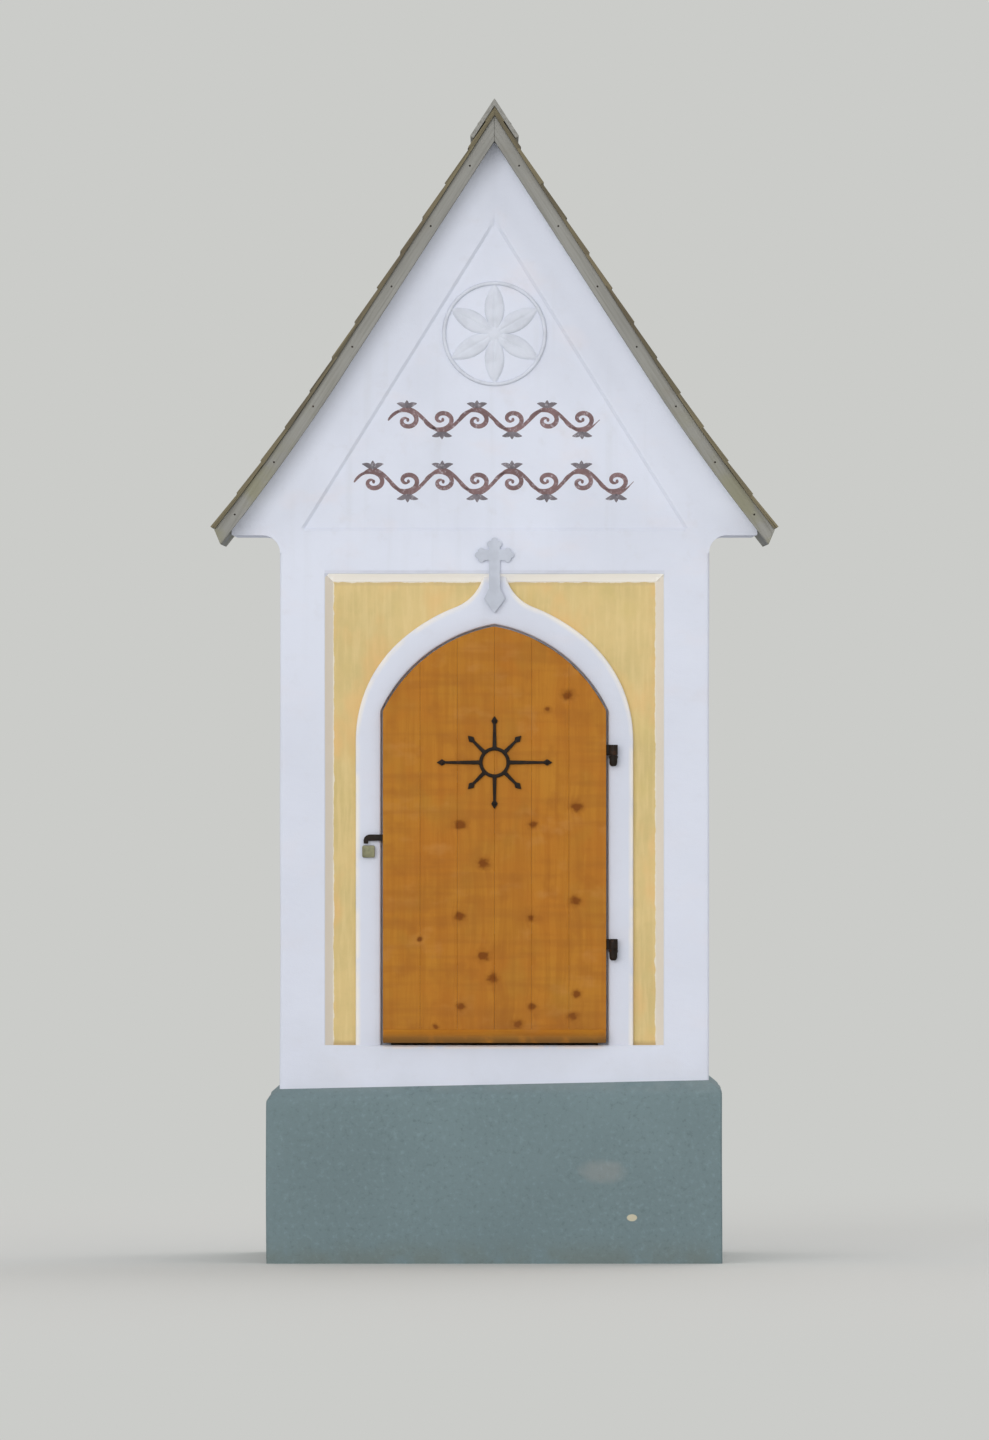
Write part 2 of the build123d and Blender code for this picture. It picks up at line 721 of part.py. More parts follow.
def shrine():
    """Every piece of the shrine by its node name."""
    pieces = {
        "plinth": plinth(),
        "floor_course": floor_course(),
        "niche_floor": niche_floor(),
        "back_wall": back_wall(),
        "niche_vault": niche_vault(),
        "lintel": lintel(),
        "bottom_rail": bottom_rail(),
        "arch_surround": arch_surround(),
        "cross": cross(),
        "gable_wall_front": gable_wall_front(),
        "gable_wall_back": gable_wall_back(),
        "rake_band": rake_band(),
        "gable_rosette": gable_rosette(),
        "ridge_cap": ridge_cap(),
        "latch_keeper": latch_keeper(),
        "door_leaf": door_leaf(),
        "door_weatherboard": door_weatherboard(),
        "door_brace": door_brace(),
        "door_sun": door_sun(),
        "latch_bar": latch_bar(),
    }
    verge = back + VERGE_REACH
    pairs = {
        "side_wall": side_wall_right(),
        "pilaster": pilaster_right(),
        "panel": panel_right(),
        "eaves_cornice": eaves_cornice_right(),
        "roof_boards": roof_boards_right(),
        "roof_shingles": roof_shingles_right(),
        "bargeboard_front": bargeboard_right(-verge),
        "bargeboard_back": bargeboard_right(verge - BARGEBOARD),
    }
    for name, piece in pairs.items():
        pieces[name + "_right"] = piece
        pieces[name + "_left"] = left_of(piece)
    for place, height in hinge_heights.items():
        pieces["hinge_eye_" + place] = hinge_eye(height)
        pieces["pintle_" + place] = pintle(height)
        pieces["door_ledge_" + place] = door_ledge(height)
    return pieces


os.makedirs("parts", exist_ok=True)
for name, piece in shrine().items():
    export_step(piece, "parts/" + name + ".step")
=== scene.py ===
"""Looks of a wayside shrine: lime render, pine door, ironwork, painted scrolls and a shingle roof.

Metres, in the frame's axes: X to the right, Y into the shrine (its front faces -Y) and Z up.
"""

from math import asin, atan2, cos, pi, radians, sin, sqrt, tan

import bmesh
import bpy
import numpy as np
from bpy.props import FloatProperty, FloatVectorProperty, IntProperty, PointerProperty
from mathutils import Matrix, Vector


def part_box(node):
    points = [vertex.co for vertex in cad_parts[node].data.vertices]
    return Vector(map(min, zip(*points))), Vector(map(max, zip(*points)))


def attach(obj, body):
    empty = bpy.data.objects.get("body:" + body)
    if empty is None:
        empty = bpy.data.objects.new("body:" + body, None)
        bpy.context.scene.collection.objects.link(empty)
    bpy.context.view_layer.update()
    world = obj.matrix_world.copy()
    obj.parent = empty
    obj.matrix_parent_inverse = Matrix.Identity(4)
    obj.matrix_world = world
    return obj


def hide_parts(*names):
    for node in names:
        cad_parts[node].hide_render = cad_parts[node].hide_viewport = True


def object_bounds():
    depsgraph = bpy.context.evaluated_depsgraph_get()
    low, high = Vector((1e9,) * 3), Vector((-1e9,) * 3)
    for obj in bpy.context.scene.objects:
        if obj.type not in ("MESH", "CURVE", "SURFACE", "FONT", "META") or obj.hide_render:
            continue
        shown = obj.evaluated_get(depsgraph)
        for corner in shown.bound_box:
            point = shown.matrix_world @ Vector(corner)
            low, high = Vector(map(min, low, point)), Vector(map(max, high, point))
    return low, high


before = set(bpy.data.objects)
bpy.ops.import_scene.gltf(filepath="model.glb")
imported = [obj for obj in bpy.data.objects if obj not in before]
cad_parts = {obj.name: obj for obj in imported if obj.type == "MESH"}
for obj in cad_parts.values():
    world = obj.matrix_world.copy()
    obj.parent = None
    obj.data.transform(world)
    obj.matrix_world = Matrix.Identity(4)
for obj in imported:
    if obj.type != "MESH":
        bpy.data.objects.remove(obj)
cad_low, cad_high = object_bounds()

bl_info = {
    "name": "Wayside Shrine",
    "version": (1, 0, 0),
    "blender": (4, 5, 0),
    "location": "3D View > Sidebar > Shrine",
    "description": "Dresses a shrine's frame with render, woodwork, ironwork and shingles",
    "category": "Add Mesh",
}


def low(node):
    """Lowest corner of a node of the frame."""
    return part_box(node)[0]


def high(node):
    """Highest corner of a node of the frame."""
    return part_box(node)[1]


def middle_and_half(node):
    """Middle of a node's box, and half its size on each axis."""
    corners = np.array(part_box(node))
    return corners.mean(axis=0), (corners[1] - corners[0]) / 2


# Depths, widths and heights read from the frame
front = low("lintel").y
core_front = high("lintel").y
panel_front = low("panel_right").y
surround_front = low("arch_surround").y
gable_front = low("gable_wall_front").y
gable_inner = high("gable_wall_front").y
niche_back = high("niche_floor").y
back = high("back_wall").y
body_half = high("lintel").x
plinth_half = high("plinth").x
plinth_back = high("plinth").y
field_half = high("panel_right").x
jamb_outer = high("arch_surround").x
cornice_outer = high("eaves_cornice_right").x
rail_top = high("bottom_rail").z
field_top = low("lintel").z
wall_top = high("lintel").z
door_half = high("door_leaf").x
door_bottom = low("door_leaf").z
door_top = high("door_leaf").z
door_front = low("door_leaf").y
door_back = high("door_leaf").y

# Sizes that the frame's boxes don't give
PLINTH_HEIGHT = 0.510
PLINTH_BEVEL = 0.032
PLINTH_SLANT = radians(1.2)
FIELD_BEVEL = 0.024
ARCH_RISE = 0.241
ARCH_CENTRE_PAST_MIDDLE = 0.0785
DOOR_GAP = 0.0055
DOOR_STOP_REACH = 0.025
SURROUND_ARCH_BAND = 0.078
SHOULDER_RADIUS = 0.380
OGEE_RADIUS = 0.130
NECK_WIDTH = 0.056
COVE_RADIUS = 0.050
ROOF_PITCH = radians(57.0)
FLARE_RUN = 0.320
FLARE_RADIUS = 6.200
BOARDING = 0.040
SHINGLING = 0.014
EAVES_TIP_SLANT = 0.024
FOOT_DEPTH = 0.006
RAKE_BAND_AT_APEX = 0.235
RAKE_BAND_AT_FOOT = 0.066
RAKE_BAND_SILL = 0.012
EYE_RADIUS = 0.0125
EYE_SEAT = 0.0003
PIN_RADIUS = 0.0064
KNUCKLE_RADIUS = 0.0115
PINTLE_WEB = 0.010
PINTLE_PLATE = 0.005

# The door's right-hand arc, and the roof's straight slope with its flare
door_spring = door_top - ARCH_RISE
arch_x = -ARCH_CENTRE_PAST_MIDDLE
arch_drop = (door_half**2 - 2 * door_half * arch_x - ARCH_RISE**2) / (2 * ARCH_RISE)
arch_z = door_spring - arch_drop
arch_radius = sqrt((door_half - arch_x) ** 2 + arch_drop**2)
niche_grow = DOOR_GAP - DOOR_STOP_REACH
flare_start = cornice_outer - FLARE_RUN
flare_x = flare_start + FLARE_RADIUS * sin(ROOF_PITCH)
roof_apex = high("roof_boards_right").z - BOARDING / cos(ROOF_PITCH)
flare_z = roof_apex - flare_start * tan(ROOF_PITCH) + FLARE_RADIUS * cos(ROOF_PITCH)
gable_field_half = body_half - RAKE_BAND_AT_FOOT
gable_field_foot = wall_top + RAKE_BAND_SILL
gable_field_apex = roof_apex - RAKE_BAND_AT_APEX
rake_lean = atan2(gable_field_half, gable_field_apex - gable_field_foot)

# Knots of the door's boards: to the right of the middle, up from the ground, and their radius
DOOR_KNOTS = [
    (0.108, 1.252, 0.010), (-0.032, 1.140, 0.013), (-0.099, 1.252, 0.013), (-0.099, 0.991, 0.011),
    (0.104, 0.985, 0.008), (0.229, 1.034, 0.012), (-0.032, 0.877, 0.013), (-0.005, 0.814, 0.012),
    (-0.097, 0.732, 0.010), (0.107, 0.732, 0.009), (0.234, 0.768, 0.009), (0.223, 0.703, 0.011),
    (0.066, 0.682, 0.011), (0.209, 1.621, 0.013), (0.234, 1.302, 0.012), (-0.214, 0.925, 0.006),
    (0.152, 1.580, 0.007), (-0.168, 0.676, 0.007),
]

# Rows of painted scrolls: height of the middle, half length, height and number of curls
SCROLL_ROWS = [(2.4065, 0.300, 0.105, 6), (2.2305, 0.397, 0.113, 8)]

FORWARD = np.array([0.0, -1.0, 0.0])
SLIGHT = 1e-6


def srgb(red, green, blue):
    """Linear colour of an 8-bit screen colour."""
    screen = np.array([red, green, blue]) / 255
    linear = np.where(screen <= 0.04045, screen / 12.92, ((screen + 0.055) / 1.055) ** 2.4)
    return tuple(float(value) for value in linear)


def shade(base, share):
    """A colour made darker or lighter by a share."""
    return tuple(min(1.0, channel * share) for channel in base)


def length(name, description, default):
    """A size in metres that a user may change."""
    return FloatProperty(name=name, description=description, default=default, min=0.0, unit="LENGTH",
                         precision=4)


def colour(name, description, *screen_colour):
    """A colour that a user may change, given as an 8-bit screen colour."""
    return FloatVectorProperty(name=name, description=description, default=srgb(*screen_colour),
                               subtype="COLOR", size=3, min=0.0, max=1.0)


class ShrineRenderSettings(bpy.types.PropertyGroup):
    """Sizes and colours of the render coats."""

    arris: length("Arris", "Radius of the masonry's worn corners", 0.009)
    uneven: length("Unevenness", "How far the hand-laid render strays from a true plane", 0.0007)
    mesh_step: length("Mesh step", "Spacing of the render's mesh", 0.014)
    white: colour("Lime white", "Limewashed render", 213, 217, 230)
    # The two creams below are painted light on the white bevels: warm light thrown back from below and off
    # the ochre field, palest on the head bevel that faces down.
    cream: colour("Cream", "Bevels at the sides of the coloured field", 222, 211, 192)
    painted_light_cream: colour("Pale cream", "Bevel over the coloured field", 253, 250, 245)
    ochre: colour("Ochre", "Coloured field", 205, 181, 126)
    plinth: colour("Plinth grey", "Render of the plinth", 110, 128, 132)
    cross: colour("Cross grey", "Budded cross", 189, 194, 206)
    paint: colour("Scroll paint", "Stems and curls in the gable", 122, 98, 99)
    leaf_paint: colour("Leaf paint", "Leaves in the gable", 114, 108, 114)


class ShrineDoorSettings(bpy.types.PropertyGroup):
    """Sizes and colours of the door and its ironwork."""

    boards: IntProperty(name="Boards", description="Boards side by side in the leaf", default=6,
                        min=2, max=12)
    joint: length("Joint", "Open joint between two boards", 0.0003)
    pine: colour("Pine", "Oiled pine between the grain lines", 179, 120, 38)
    grain: colour("Grain", "Late wood and knots' halos", 150, 90, 20)
    knot: colour("Knot", "Heart of a knot", 112, 56, 2)
    iron: colour("Iron", "Blackened wrought iron", 27, 19, 12)
    case: colour("Case", "Olive-grey case of the latch keeper", 126, 125, 97)


class ShrineRoofSettings(bpy.types.PropertyGroup):
    """Sizes and colours of the roof."""

    exposure: length("Exposure", "Length of a shingle that the next course leaves open", 0.115)
    shingle_width: length("Shingle width", "Mean width of a shingle", 0.095)
    butt: length("Butt", "Thickness of a shingle at its lower end", 0.0065)
    timber: colour("Verge timber", "Weathered bargeboards", 147, 146, 141)
    streak: colour("Timber streaks", "Dark grain of the weathered wood", 109, 107, 100)
    shingle: colour("Shingles", "Weathered shingles", 110, 102, 80)


class ShrineStageSettings(bpy.types.PropertyGroup):
    """The camera, the light and the floor."""

    camera_distance: length("Camera distance", "From the shrine's front to the camera", 55.0)
    camera_height: length("Camera height", "Of the camera above the ground", 1.7)
    aim_height: length("Aim height", "Of the place on the front that the camera looks at", 1.55)
    focal_length: FloatProperty(name="Focal length", description="Lens of the camera in millimetres",
                                default=482.0, min=10.0)
    floor: colour("Floor", "Plain floor round the shrine", 207, 207, 204)
    backdrop: colour("Backdrop", "Floor and background in the distance", 203, 204, 201)
    key_strength: FloatProperty(name="Key strength", description="Strength of the soft key light",
                                default=1.62)
    sky_strength: FloatProperty(name="Sky strength", description="Strength of the even light",
                                default=0.69)


def maths(operation, reflected=False):
    """An operator of a wire that adds one Math node, with the wire as its first value or its last."""

    def work(self, *others):
        values = (*others, self) if reflected else (self, *others)
        return self.finish.node("ShaderNodeMath", {"operation": operation}, *values)

    return work


class Wire:
    """A socket of a material's nodes; sums and products with numbers and other wires add Math nodes."""

    def __init__(self, finish, socket):
        self.finish = finish
        self.socket = socket

    __add__ = __radd__ = maths("ADD")
    __sub__ = maths("SUBTRACT")
    __rsub__ = maths("SUBTRACT", reflected=True)
    __mul__ = __rmul__ = maths("MULTIPLY")
    __truediv__ = maths("DIVIDE")
    __rtruediv__ = maths("DIVIDE", reflected=True)
    __pow__ = maths("POWER")
    __abs__ = maths("ABSOLUTE")
    least = maths("MINIMUM")
    most = maths("MAXIMUM")

    def rise(self, start, end):
        """0 at start and 1 at end, with a soft turn at both; start may be the higher."""
        values = (start, end, 0.0, 1.0) if start < end else (end, start, 1.0, 0.0)
        return self.finish.node("ShaderNodeMapRange", {"interpolation_type": "SMOOTHSTEP"}, self, *values)


class Finish:
    """One material, put together node by node, that reads the place on the piece as x, y and z."""

    def __init__(self, name):
        self.material = bpy.data.materials.new(name)
        self.material.use_nodes = True
        self.tree = self.material.node_tree
        self.shader = self.tree.nodes["Principled BSDF"]
        self.place = self.node("ShaderNodeTexCoord", out="Object")
        apart = self.node("ShaderNodeSeparateXYZ", None, self.place).socket.node
        self.x, self.y, self.z = (Wire(self, socket) for socket in apart.outputs)

    def node(self, kind, settings=None, *values, out=0, **named):
        """Adds a node: its settings first, then its sockets' values or links, in order or by name."""
        made = self.tree.nodes.new(kind)
        for key, value in (settings or {}).items():
            setattr(made, key, value)
        for socket, value in zip(made.inputs, values):
            self.feed(socket, value)
        for key, value in named.items():
            self.feed(made.inputs[key], value)
        return Wire(self, made.outputs[out])

    def feed(self, socket, value):
        """Links a wire to a socket, or sets the socket's own value."""
        if isinstance(value, Wire):
            self.tree.links.new(value.socket, socket)
        elif socket.type == "RGBA":
            socket.default_value = (*value[:3], 1.0)
        else:
            socket.default_value = value

    def vector(self, x, y, z):
        """A vector of three numbers or wires."""
        return self.node("ShaderNodeCombineXYZ", None, x, y, z)

    def span(self, vector):
        """How long a vector is."""
        return self.node("ShaderNodeVectorMath", {"operation": "LENGTH"}, vector, out=1)

    def mark(self, name):
        """The number that a piece carries at each of its points under a name."""
        return self.node("ShaderNodeAttribute", {"attribute_name": name}, out="Fac")

    def noise(self, scale, detail, stretch=None, place=None, roughness=0.5):
        """Cloudy pattern from 0 to 1; scale is its count to the metre, and stretch multiplies it by axis."""
        place = place or self.place
        if stretch:
            place = self.node("ShaderNodeVectorMath", {"operation": "MULTIPLY"}, place, stretch)
        return self.node("ShaderNodeTexNoise", None, Vector=place, Scale=scale, Detail=detail,
                         Roughness=roughness)

    def clouds(self, scale, detail, start, end, stretch=None, roughness=0.5):
        """Mask of a cloudy pattern: 0 where it is below start and 1 where it is above end."""
        return self.noise(scale, detail, stretch, roughness=roughness).rise(start, end)

    def coats(self, base, coats):
        """Colour with coats laid over it in order, each a mask from 0 to 1 and the coat's colour."""
        for mask, tone in coats:
            made = self.node("ShaderNodeMix", {"data_type": "RGBA"}).socket.node
            for socket, value in ((made.inputs[0], mask), (made.inputs[6], base), (made.inputs[7], tone)):
                self.feed(socket, value)
            base = Wire(self, made.outputs[2])
        return base

    def bump(self, height, distance, under=None):
        """Surface direction that a height from 0 to 1 gives at a depth in metres, over an earlier one."""
        named = {"Strength": 1.0, "Distance": distance, "Height": height}
        if under:
            named["Normal"] = under
        return self.node("ShaderNodeBump", None, **named)

    def done(self, base, roughness, normal=None, metallic=0.0, specular=None):
        """Feeds the shader and gives the finished material."""
        self.feed(self.shader.inputs["Base Color"], base)
        self.feed(self.shader.inputs["Roughness"], roughness)
        self.shader.inputs["Metallic"].default_value = metallic
        if specular is not None:
            self.shader.inputs["Specular IOR Level"].default_value = specular
        if normal:
            self.feed(self.shader.inputs["Normal"], normal)
        return self.material


def render_bump(finish, sand, trowel):
    """Relief of sanded render: a fine grain over long strokes of the trowel."""
    strokes = finish.noise(7.0, 3.0, (1.0, 1.0, 1.6))
    grains = finish.noise(330.0, 2.0)
    return finish.bump(grains, sand, finish.bump(strokes, trowel))


def slope_place(finish):
    """Distances down the roof's slope and square out of it, the same on both sides."""
    side = abs(finish.x)
    run = side * cos(ROOF_PITCH) - finish.z * sin(ROOF_PITCH)
    rise = side * sin(ROOF_PITCH) + finish.z * cos(ROOF_PITCH)
    return run, rise


def bevel_coats(finish, tones):
    """Coats round the coloured field: painted bounce light on its bevels, cream at the sides and paler over
    its head, a painted shade line above that, and a pale line on the rail under the door."""
    x, y, z = finish.x, finish.y, finish.z
    in_field = (abs(x) - field_half - FIELD_BEVEL).rise(0.0006, -0.0006)
    recess = y.rise(front + 0.0012, front + 0.0030) * y.rise(core_front, core_front - 0.004)
    bevel = in_field * recess * z.rise(rail_top, rail_top + 0.001)
    over_mitre = z - field_top - (abs(x) - field_half).most(0.0)
    in_head = over_mitre.rise(-0.0006, 0.0006)
    on_front = y.rise(0.0, front)
    over_bevel = z - field_top - FIELD_BEVEL
    # Painted shade: a thin grey line on the wall just over the head bevel.
    line = over_bevel.rise(0.0, 0.002) * over_bevel.rise(0.011, 0.005) * in_field * on_front
    over_rail = z - rail_top
    under_door = (abs(x) - door_half).rise(0.003, -0.003) * on_front
    sill = over_rail.rise(-0.013, -0.006) * over_rail.rise(0.001, 0.0) * under_door
    return [
        # Painted light: warm bounce light on the white bevels, cream at the sides and palest on the head
        # bevel that faces down.
        (bevel * (1.0 - in_head) * 0.80, tones.cream),
        (bevel * in_head, tones.painted_light_cream),
        # Painted shade line over the head bevel.
        (line * finish.noise(20.0, 3.0) * 0.95, srgb(185, 187, 200)),
        (sill * finish.clouds(30.0, 3.0, 0.25, 0.6) * 0.6, srgb(236, 219, 207)),
    ]


def white_render(name, bevel=False, rim=False, share=1.0):
    """Limewashed render: cloudy white with blots and warm patches, streaked under the eaves, painted shade
    lower down the walls, painted light on the gable under the verge, and splashed over the plinth."""
    tones = bpy.context.scene.shrine_render
    white = shade(tones.white, share)
    finish = Finish(name)
    z = finish.z
    verge = roof_apex * cos(ROOF_PITCH)
    # Painted light: a whiter band on the gable under the verge, against the shade of its overhang.
    painted_light_under_verge = slope_place(finish)[1].rise(verge - 0.090, verge - 0.010)
    streaks = finish.clouds(1.0, 4.0, 0.52, 0.78, (26.0, 26.0, 1.4))
    splashes = finish.clouds(9.0, 5.0, 0.36, 0.66)
    base = finish.coats(shade(white, 1.03), [
        (finish.clouds(2.6, 4.0, 0.38, 0.68) * 0.75, shade(white, 0.945)),
        (finish.clouds(17.0, 5.0, 0.54, 0.74, roughness=0.6) * 0.26, srgb(199, 199, 206)),
        (finish.clouds(6.0, 4.0, 0.52, 0.74, (1.0, 1.0, 1.7)) * 0.22, srgb(222, 212, 214)),
        (streaks * z.rise(1.2, 2.3) * 0.14, srgb(186, 188, 190)),
        # Painted shade: greyer lower down the walls.
        (z.rise(2.0, 1.5) * 0.45, shade(white, 0.93)),
        # Painted light under the verge.
        (painted_light_under_verge * z.rise(wall_top, wall_top + 0.10), shade(white, 1.14)),
        (splashes * z.rise(0.74, 0.50) * 0.12, srgb(183, 184, 184)),
    ])
    if bevel:
        base = finish.coats(base, bevel_coats(finish, tones))
    if rim:
        # Painted highlight: a thin cream line of light along the surround's outer arris, broken up by
        # clouds.
        worn = finish.mark("rim") * finish.clouds(14.0, 3.0, 0.2, 0.6)
        base = finish.coats(base, [(worn * 0.7, srgb(238, 229, 214))])
    return finish.done(base, 0.92, render_bump(finish, 0.0005, 0.0045))


def plinth_render():
    """Grey-blue sponged render, darker lower down, with a pale stain, a cream chip, earth splashes along its
    foot and a rubbed head."""
    tone = bpy.context.scene.shrine_render.plinth
    finish = Finish("plinth_render")
    x, y, z = finish.x, finish.y, finish.z
    sponge = finish.noise(58.0, 5.0, roughness=0.68)
    ragged = finish.noise(34.0, 4.0)
    on_front = y.rise(0.008 - plinth_back, 0.002 - plinth_back)
    stain = ((x - 0.307) / 0.078) ** 2.0 + ((z - 0.262) / 0.040) ** 2.0 + ragged * 0.9
    chip = ((x - 0.392) / 0.015) ** 2.0 + ((z - 0.131) / 0.010) ** 2.0 + ragged * 0.8
    earth = finish.clouds(11.0, 5.0, 0.30, 0.62) * z.rise(0.09, 0.005)
    head = z.rise(PLINTH_HEIGHT - PLINTH_BEVEL, PLINTH_HEIGHT) * finish.clouds(14.0, 3.0, 0.3, 0.6)
    base = finish.coats(shade(tone, 1.05), [
        (finish.clouds(3.0, 4.0, 0.34, 0.68), shade(tone, 0.95)),
        (z.rise(0.46, 0.06) * 0.55, shade(tone, 0.93)),
        (z.rise(0.34, 0.50) * 0.5, shade(tone, 1.05)),
        (sponge.rise(0.52, 0.70) * 0.55, shade(tone, 1.32)),
        (sponge.rise(0.46, 0.32) * 0.55, shade(tone, 0.72)),
        (stain.rise(1.5, 0.6) * on_front * 0.32, srgb(152, 150, 146)),
        (chip.rise(1.5, 1.1) * on_front * 0.8, srgb(206, 196, 168)),
        (earth * 0.34, srgb(104, 106, 92)),
        (head * 0.35, srgb(136, 146, 146)),
    ])
    grit = finish.bump(sponge, 0.0026, finish.bump(finish.noise(8.0, 3.0), 0.004))
    return finish.done(base, 0.93, finish.bump(finish.noise(260.0, 2.0), 0.0006, grit))


def ochre_render():
    """Ochre wash in uneven brush strokes, thinned along the edges where the brush stopped short, with a
    painted shade line under its head, and darker along its foot."""
    tone = bpy.context.scene.shrine_render.ochre
    finish = Finish("ochre_render")
    x, z = finish.x, finish.z
    wobble = finish.noise(38.0, 3.0) * 0.010
    edge = (abs(x) + wobble).rise(field_half + 0.0012, field_half + 0.0036)
    head = (z + wobble).rise(field_top + 0.0012, field_top + 0.0036)
    # Painted shade: a thin darker line under the head bevel.
    painted_shade_under_head = z.rise(field_top - 0.016, field_top - 0.003) * finish.clouds(24.0, 3.0, 0.2, 0.5)
    base = finish.coats(shade(tone, 1.08), [
        (finish.clouds(5.5, 5.0, 0.32, 0.68, roughness=0.66), srgb(199, 178, 122)),
        (finish.clouds(1.0, 4.0, 0.40, 0.72, (90.0, 90.0, 9.0)) * 0.38, srgb(223, 200, 146)),
        (finish.clouds(8.5, 3.0, 0.48, 0.72, (1.0, 1.0, 0.6)) * 0.60, srgb(221, 178, 118)),
        (finish.clouds(10.5, 3.0, 0.55, 0.75, (1.0, 1.0, 0.7)) * 0.28, srgb(200, 182, 112)),
        (painted_shade_under_head * 0.55, srgb(186, 164, 124)),
        (edge.most(head), srgb(221, 214, 199)),
        ((z - wobble).rise(rail_top + 0.012, rail_top - 0.002) * 0.6, srgb(166, 140, 100)),
    ])
    return finish.done(base, 0.92, render_bump(finish, 0.0005, 0.004))


def flat_render(name, tone):
    """Smooth coloured render with faint clouds, for the small reliefs."""
    finish = Finish(name)
    base = finish.coats(shade(tone, 1.05), [(finish.clouds(22.0, 4.0, 0.35, 0.68), shade(tone, 0.93))])
    return finish.done(base, 0.92, render_bump(finish, 0.0004, 0.002))


def scroll_paint(name, tone):
    """Limewash paint, worn thin so that the white shows through its strokes."""
    finish = Finish(name)
    base = finish.coats(shade(tone, 0.85), [
        (finish.clouds(30.0, 3.0, 0.3, 0.7), shade(tone, 1.2)),
        (finish.clouds(120.0, 4.0, 0.52, 0.72, roughness=0.7) * 0.55, srgb(196, 192, 200)),
    ])
    return finish.done(base, 0.9, render_bump(finish, 0.0003, 0.001))


def niche_stone():
    """Worn grey floor slab."""
    finish = Finish("niche_stone")
    base = finish.coats(srgb(168, 164, 156), [
        (finish.clouds(12.0, 5.0, 0.3, 0.7), srgb(140, 137, 130)),
        (finish.clouds(150.0, 2.0, 0.55, 0.7) * 0.4, srgb(108, 106, 100)),
    ])
    return finish.done(base, 0.8, finish.bump(finish.noise(90.0, 3.0), 0.0008))


def pine(name, board_width, upright=True):
    """Oiled knotty pine: grain lines that bend round the knots, each board with its own tone, darker towards
    its foot and darker still along its lower edge. Boards that lie have no knots."""
    tones = bpy.context.scene.shrine_door
    grain = tones.grain
    finish = Finish(name)
    x, y, z = (finish.x, finish.y, finish.z) if upright else (finish.z, finish.y, finish.x)
    board = finish.node("ShaderNodeMath", {"operation": "FLOOR"}, (x + door_half) / board_width)
    own = finish.node("ShaderNodeTexWhiteNoise", {"noise_dimensions": "1D"}, W=board)
    reach = None
    for knot_x, knot_z, radius in DOOR_KNOTS if upright else ():
        away = finish.vector((x - knot_x) / (radius * 1.12), 0.0, (z - knot_z) / (radius * 0.92))
        reach = reach.least(finish.span(away)) if reach else finish.span(away)
    swirl = 0.034 / (reach + 0.9) if reach else 0.0
    along = finish.vector(x + board * 0.37 + swirl, y + own * 3.0, z * 0.05)
    rings = finish.noise(60.0, 3.0, place=along, roughness=0.55)
    fibres = finish.noise(1.0, 3.0, (620.0, 620.0, 14.0) if upright else (14.0, 620.0, 620.0))
    coats = [
        (rings.rise(0.36, 0.66) * 0.42, grain),
        (fibres.rise(0.45, 0.75) * 0.12, shade(grain, 0.8)),
        (finish.clouds(5.5, 4.0, 0.34, 0.66) * 0.45, srgb(173, 102, 30)),
        (finish.clouds(15.0, 4.0, 0.50, 0.70) * 0.42, srgb(152, 92, 28)),
        (finish.clouds(9.0, 3.0, 0.52, 0.72, (1.0, 1.0, 0.8)) * 0.34, srgb(162, 118, 42)),
        (finish.clouds(12.0, 3.0, 0.56, 0.74, (1.0, 1.0, 1.6)) * 0.35, srgb(186, 130, 66)),
        (finish.clouds(1.0, 3.0, 0.44, 0.68, (3.0, 3.0, 38.0)) * 0.36, srgb(150, 93, 32)),
        (own * 0.18, srgb(160, 103, 38)),
    ]
    if upright:
        ragged = reach + (finish.noise(60.0, 2.0, (1.0, 1.0, 1.4)) - 0.5) * 1.8
        foot = z.rise(door_bottom + 0.16, door_bottom + 0.03) * finish.clouds(8.0, 4.0, 0.3, 0.65)
        coats += [
            (ragged.rise(2.3, 0.9) * 0.50, shade(grain, 0.85)),
            (ragged.rise(1.40, 0.60) * 0.85, tones.knot),
            (foot * 0.35, srgb(136, 84, 34)),
        ]
    # Darker along the boards' lower edge.
    dark_lower_edge = finish.z.rise(door_bottom + 0.036, door_bottom + 0.004) * finish.clouds(20.0, 3.0, 0.15, 0.5)
    base = finish.coats(tones.pine, [*coats, (dark_lower_edge * 0.85, srgb(102, 72, 34))])
    relief = finish.bump(rings, 0.0003, finish.bump(fibres, 0.0002))
    return finish.done(base, 0.55, relief, specular=0.12)


def weathered_timber(name, across_ridge=True):
    """Silver-grey weathered wood with dark grain lines and brown remains, along the slope or the ridge, and
    mossy towards the eaves."""
    tones = bpy.context.scene.shrine_roof
    finish = Finish(name)
    run, rise = slope_place(finish)
    stretch_run, stretch_y = (3.0, 95.0) if across_ridge else (95.0, 3.0)
    place = finish.vector(run * stretch_run, rise * 95.0, finish.y * stretch_y)
    lines = finish.noise(1.0, 4.0, place=place, roughness=0.6)
    moss = finish.clouds(9.0, 4.0, 0.40, 0.62) * finish.z.rise(2.62, 2.14)
    base = finish.coats(tones.timber, [
        (lines.rise(0.42, 0.70) * 0.55, tones.streak),
        (finish.clouds(5.0, 4.0, 0.40, 0.66) * 0.5, shade(tones.timber, 0.82)),
        (finish.clouds(13.0, 4.0, 0.58, 0.76) * 0.22, srgb(132, 122, 106)),
        (moss * 0.60, srgb(134, 131, 100)),
    ])
    return finish.done(base, 0.85, finish.bump(lines, 0.0011))


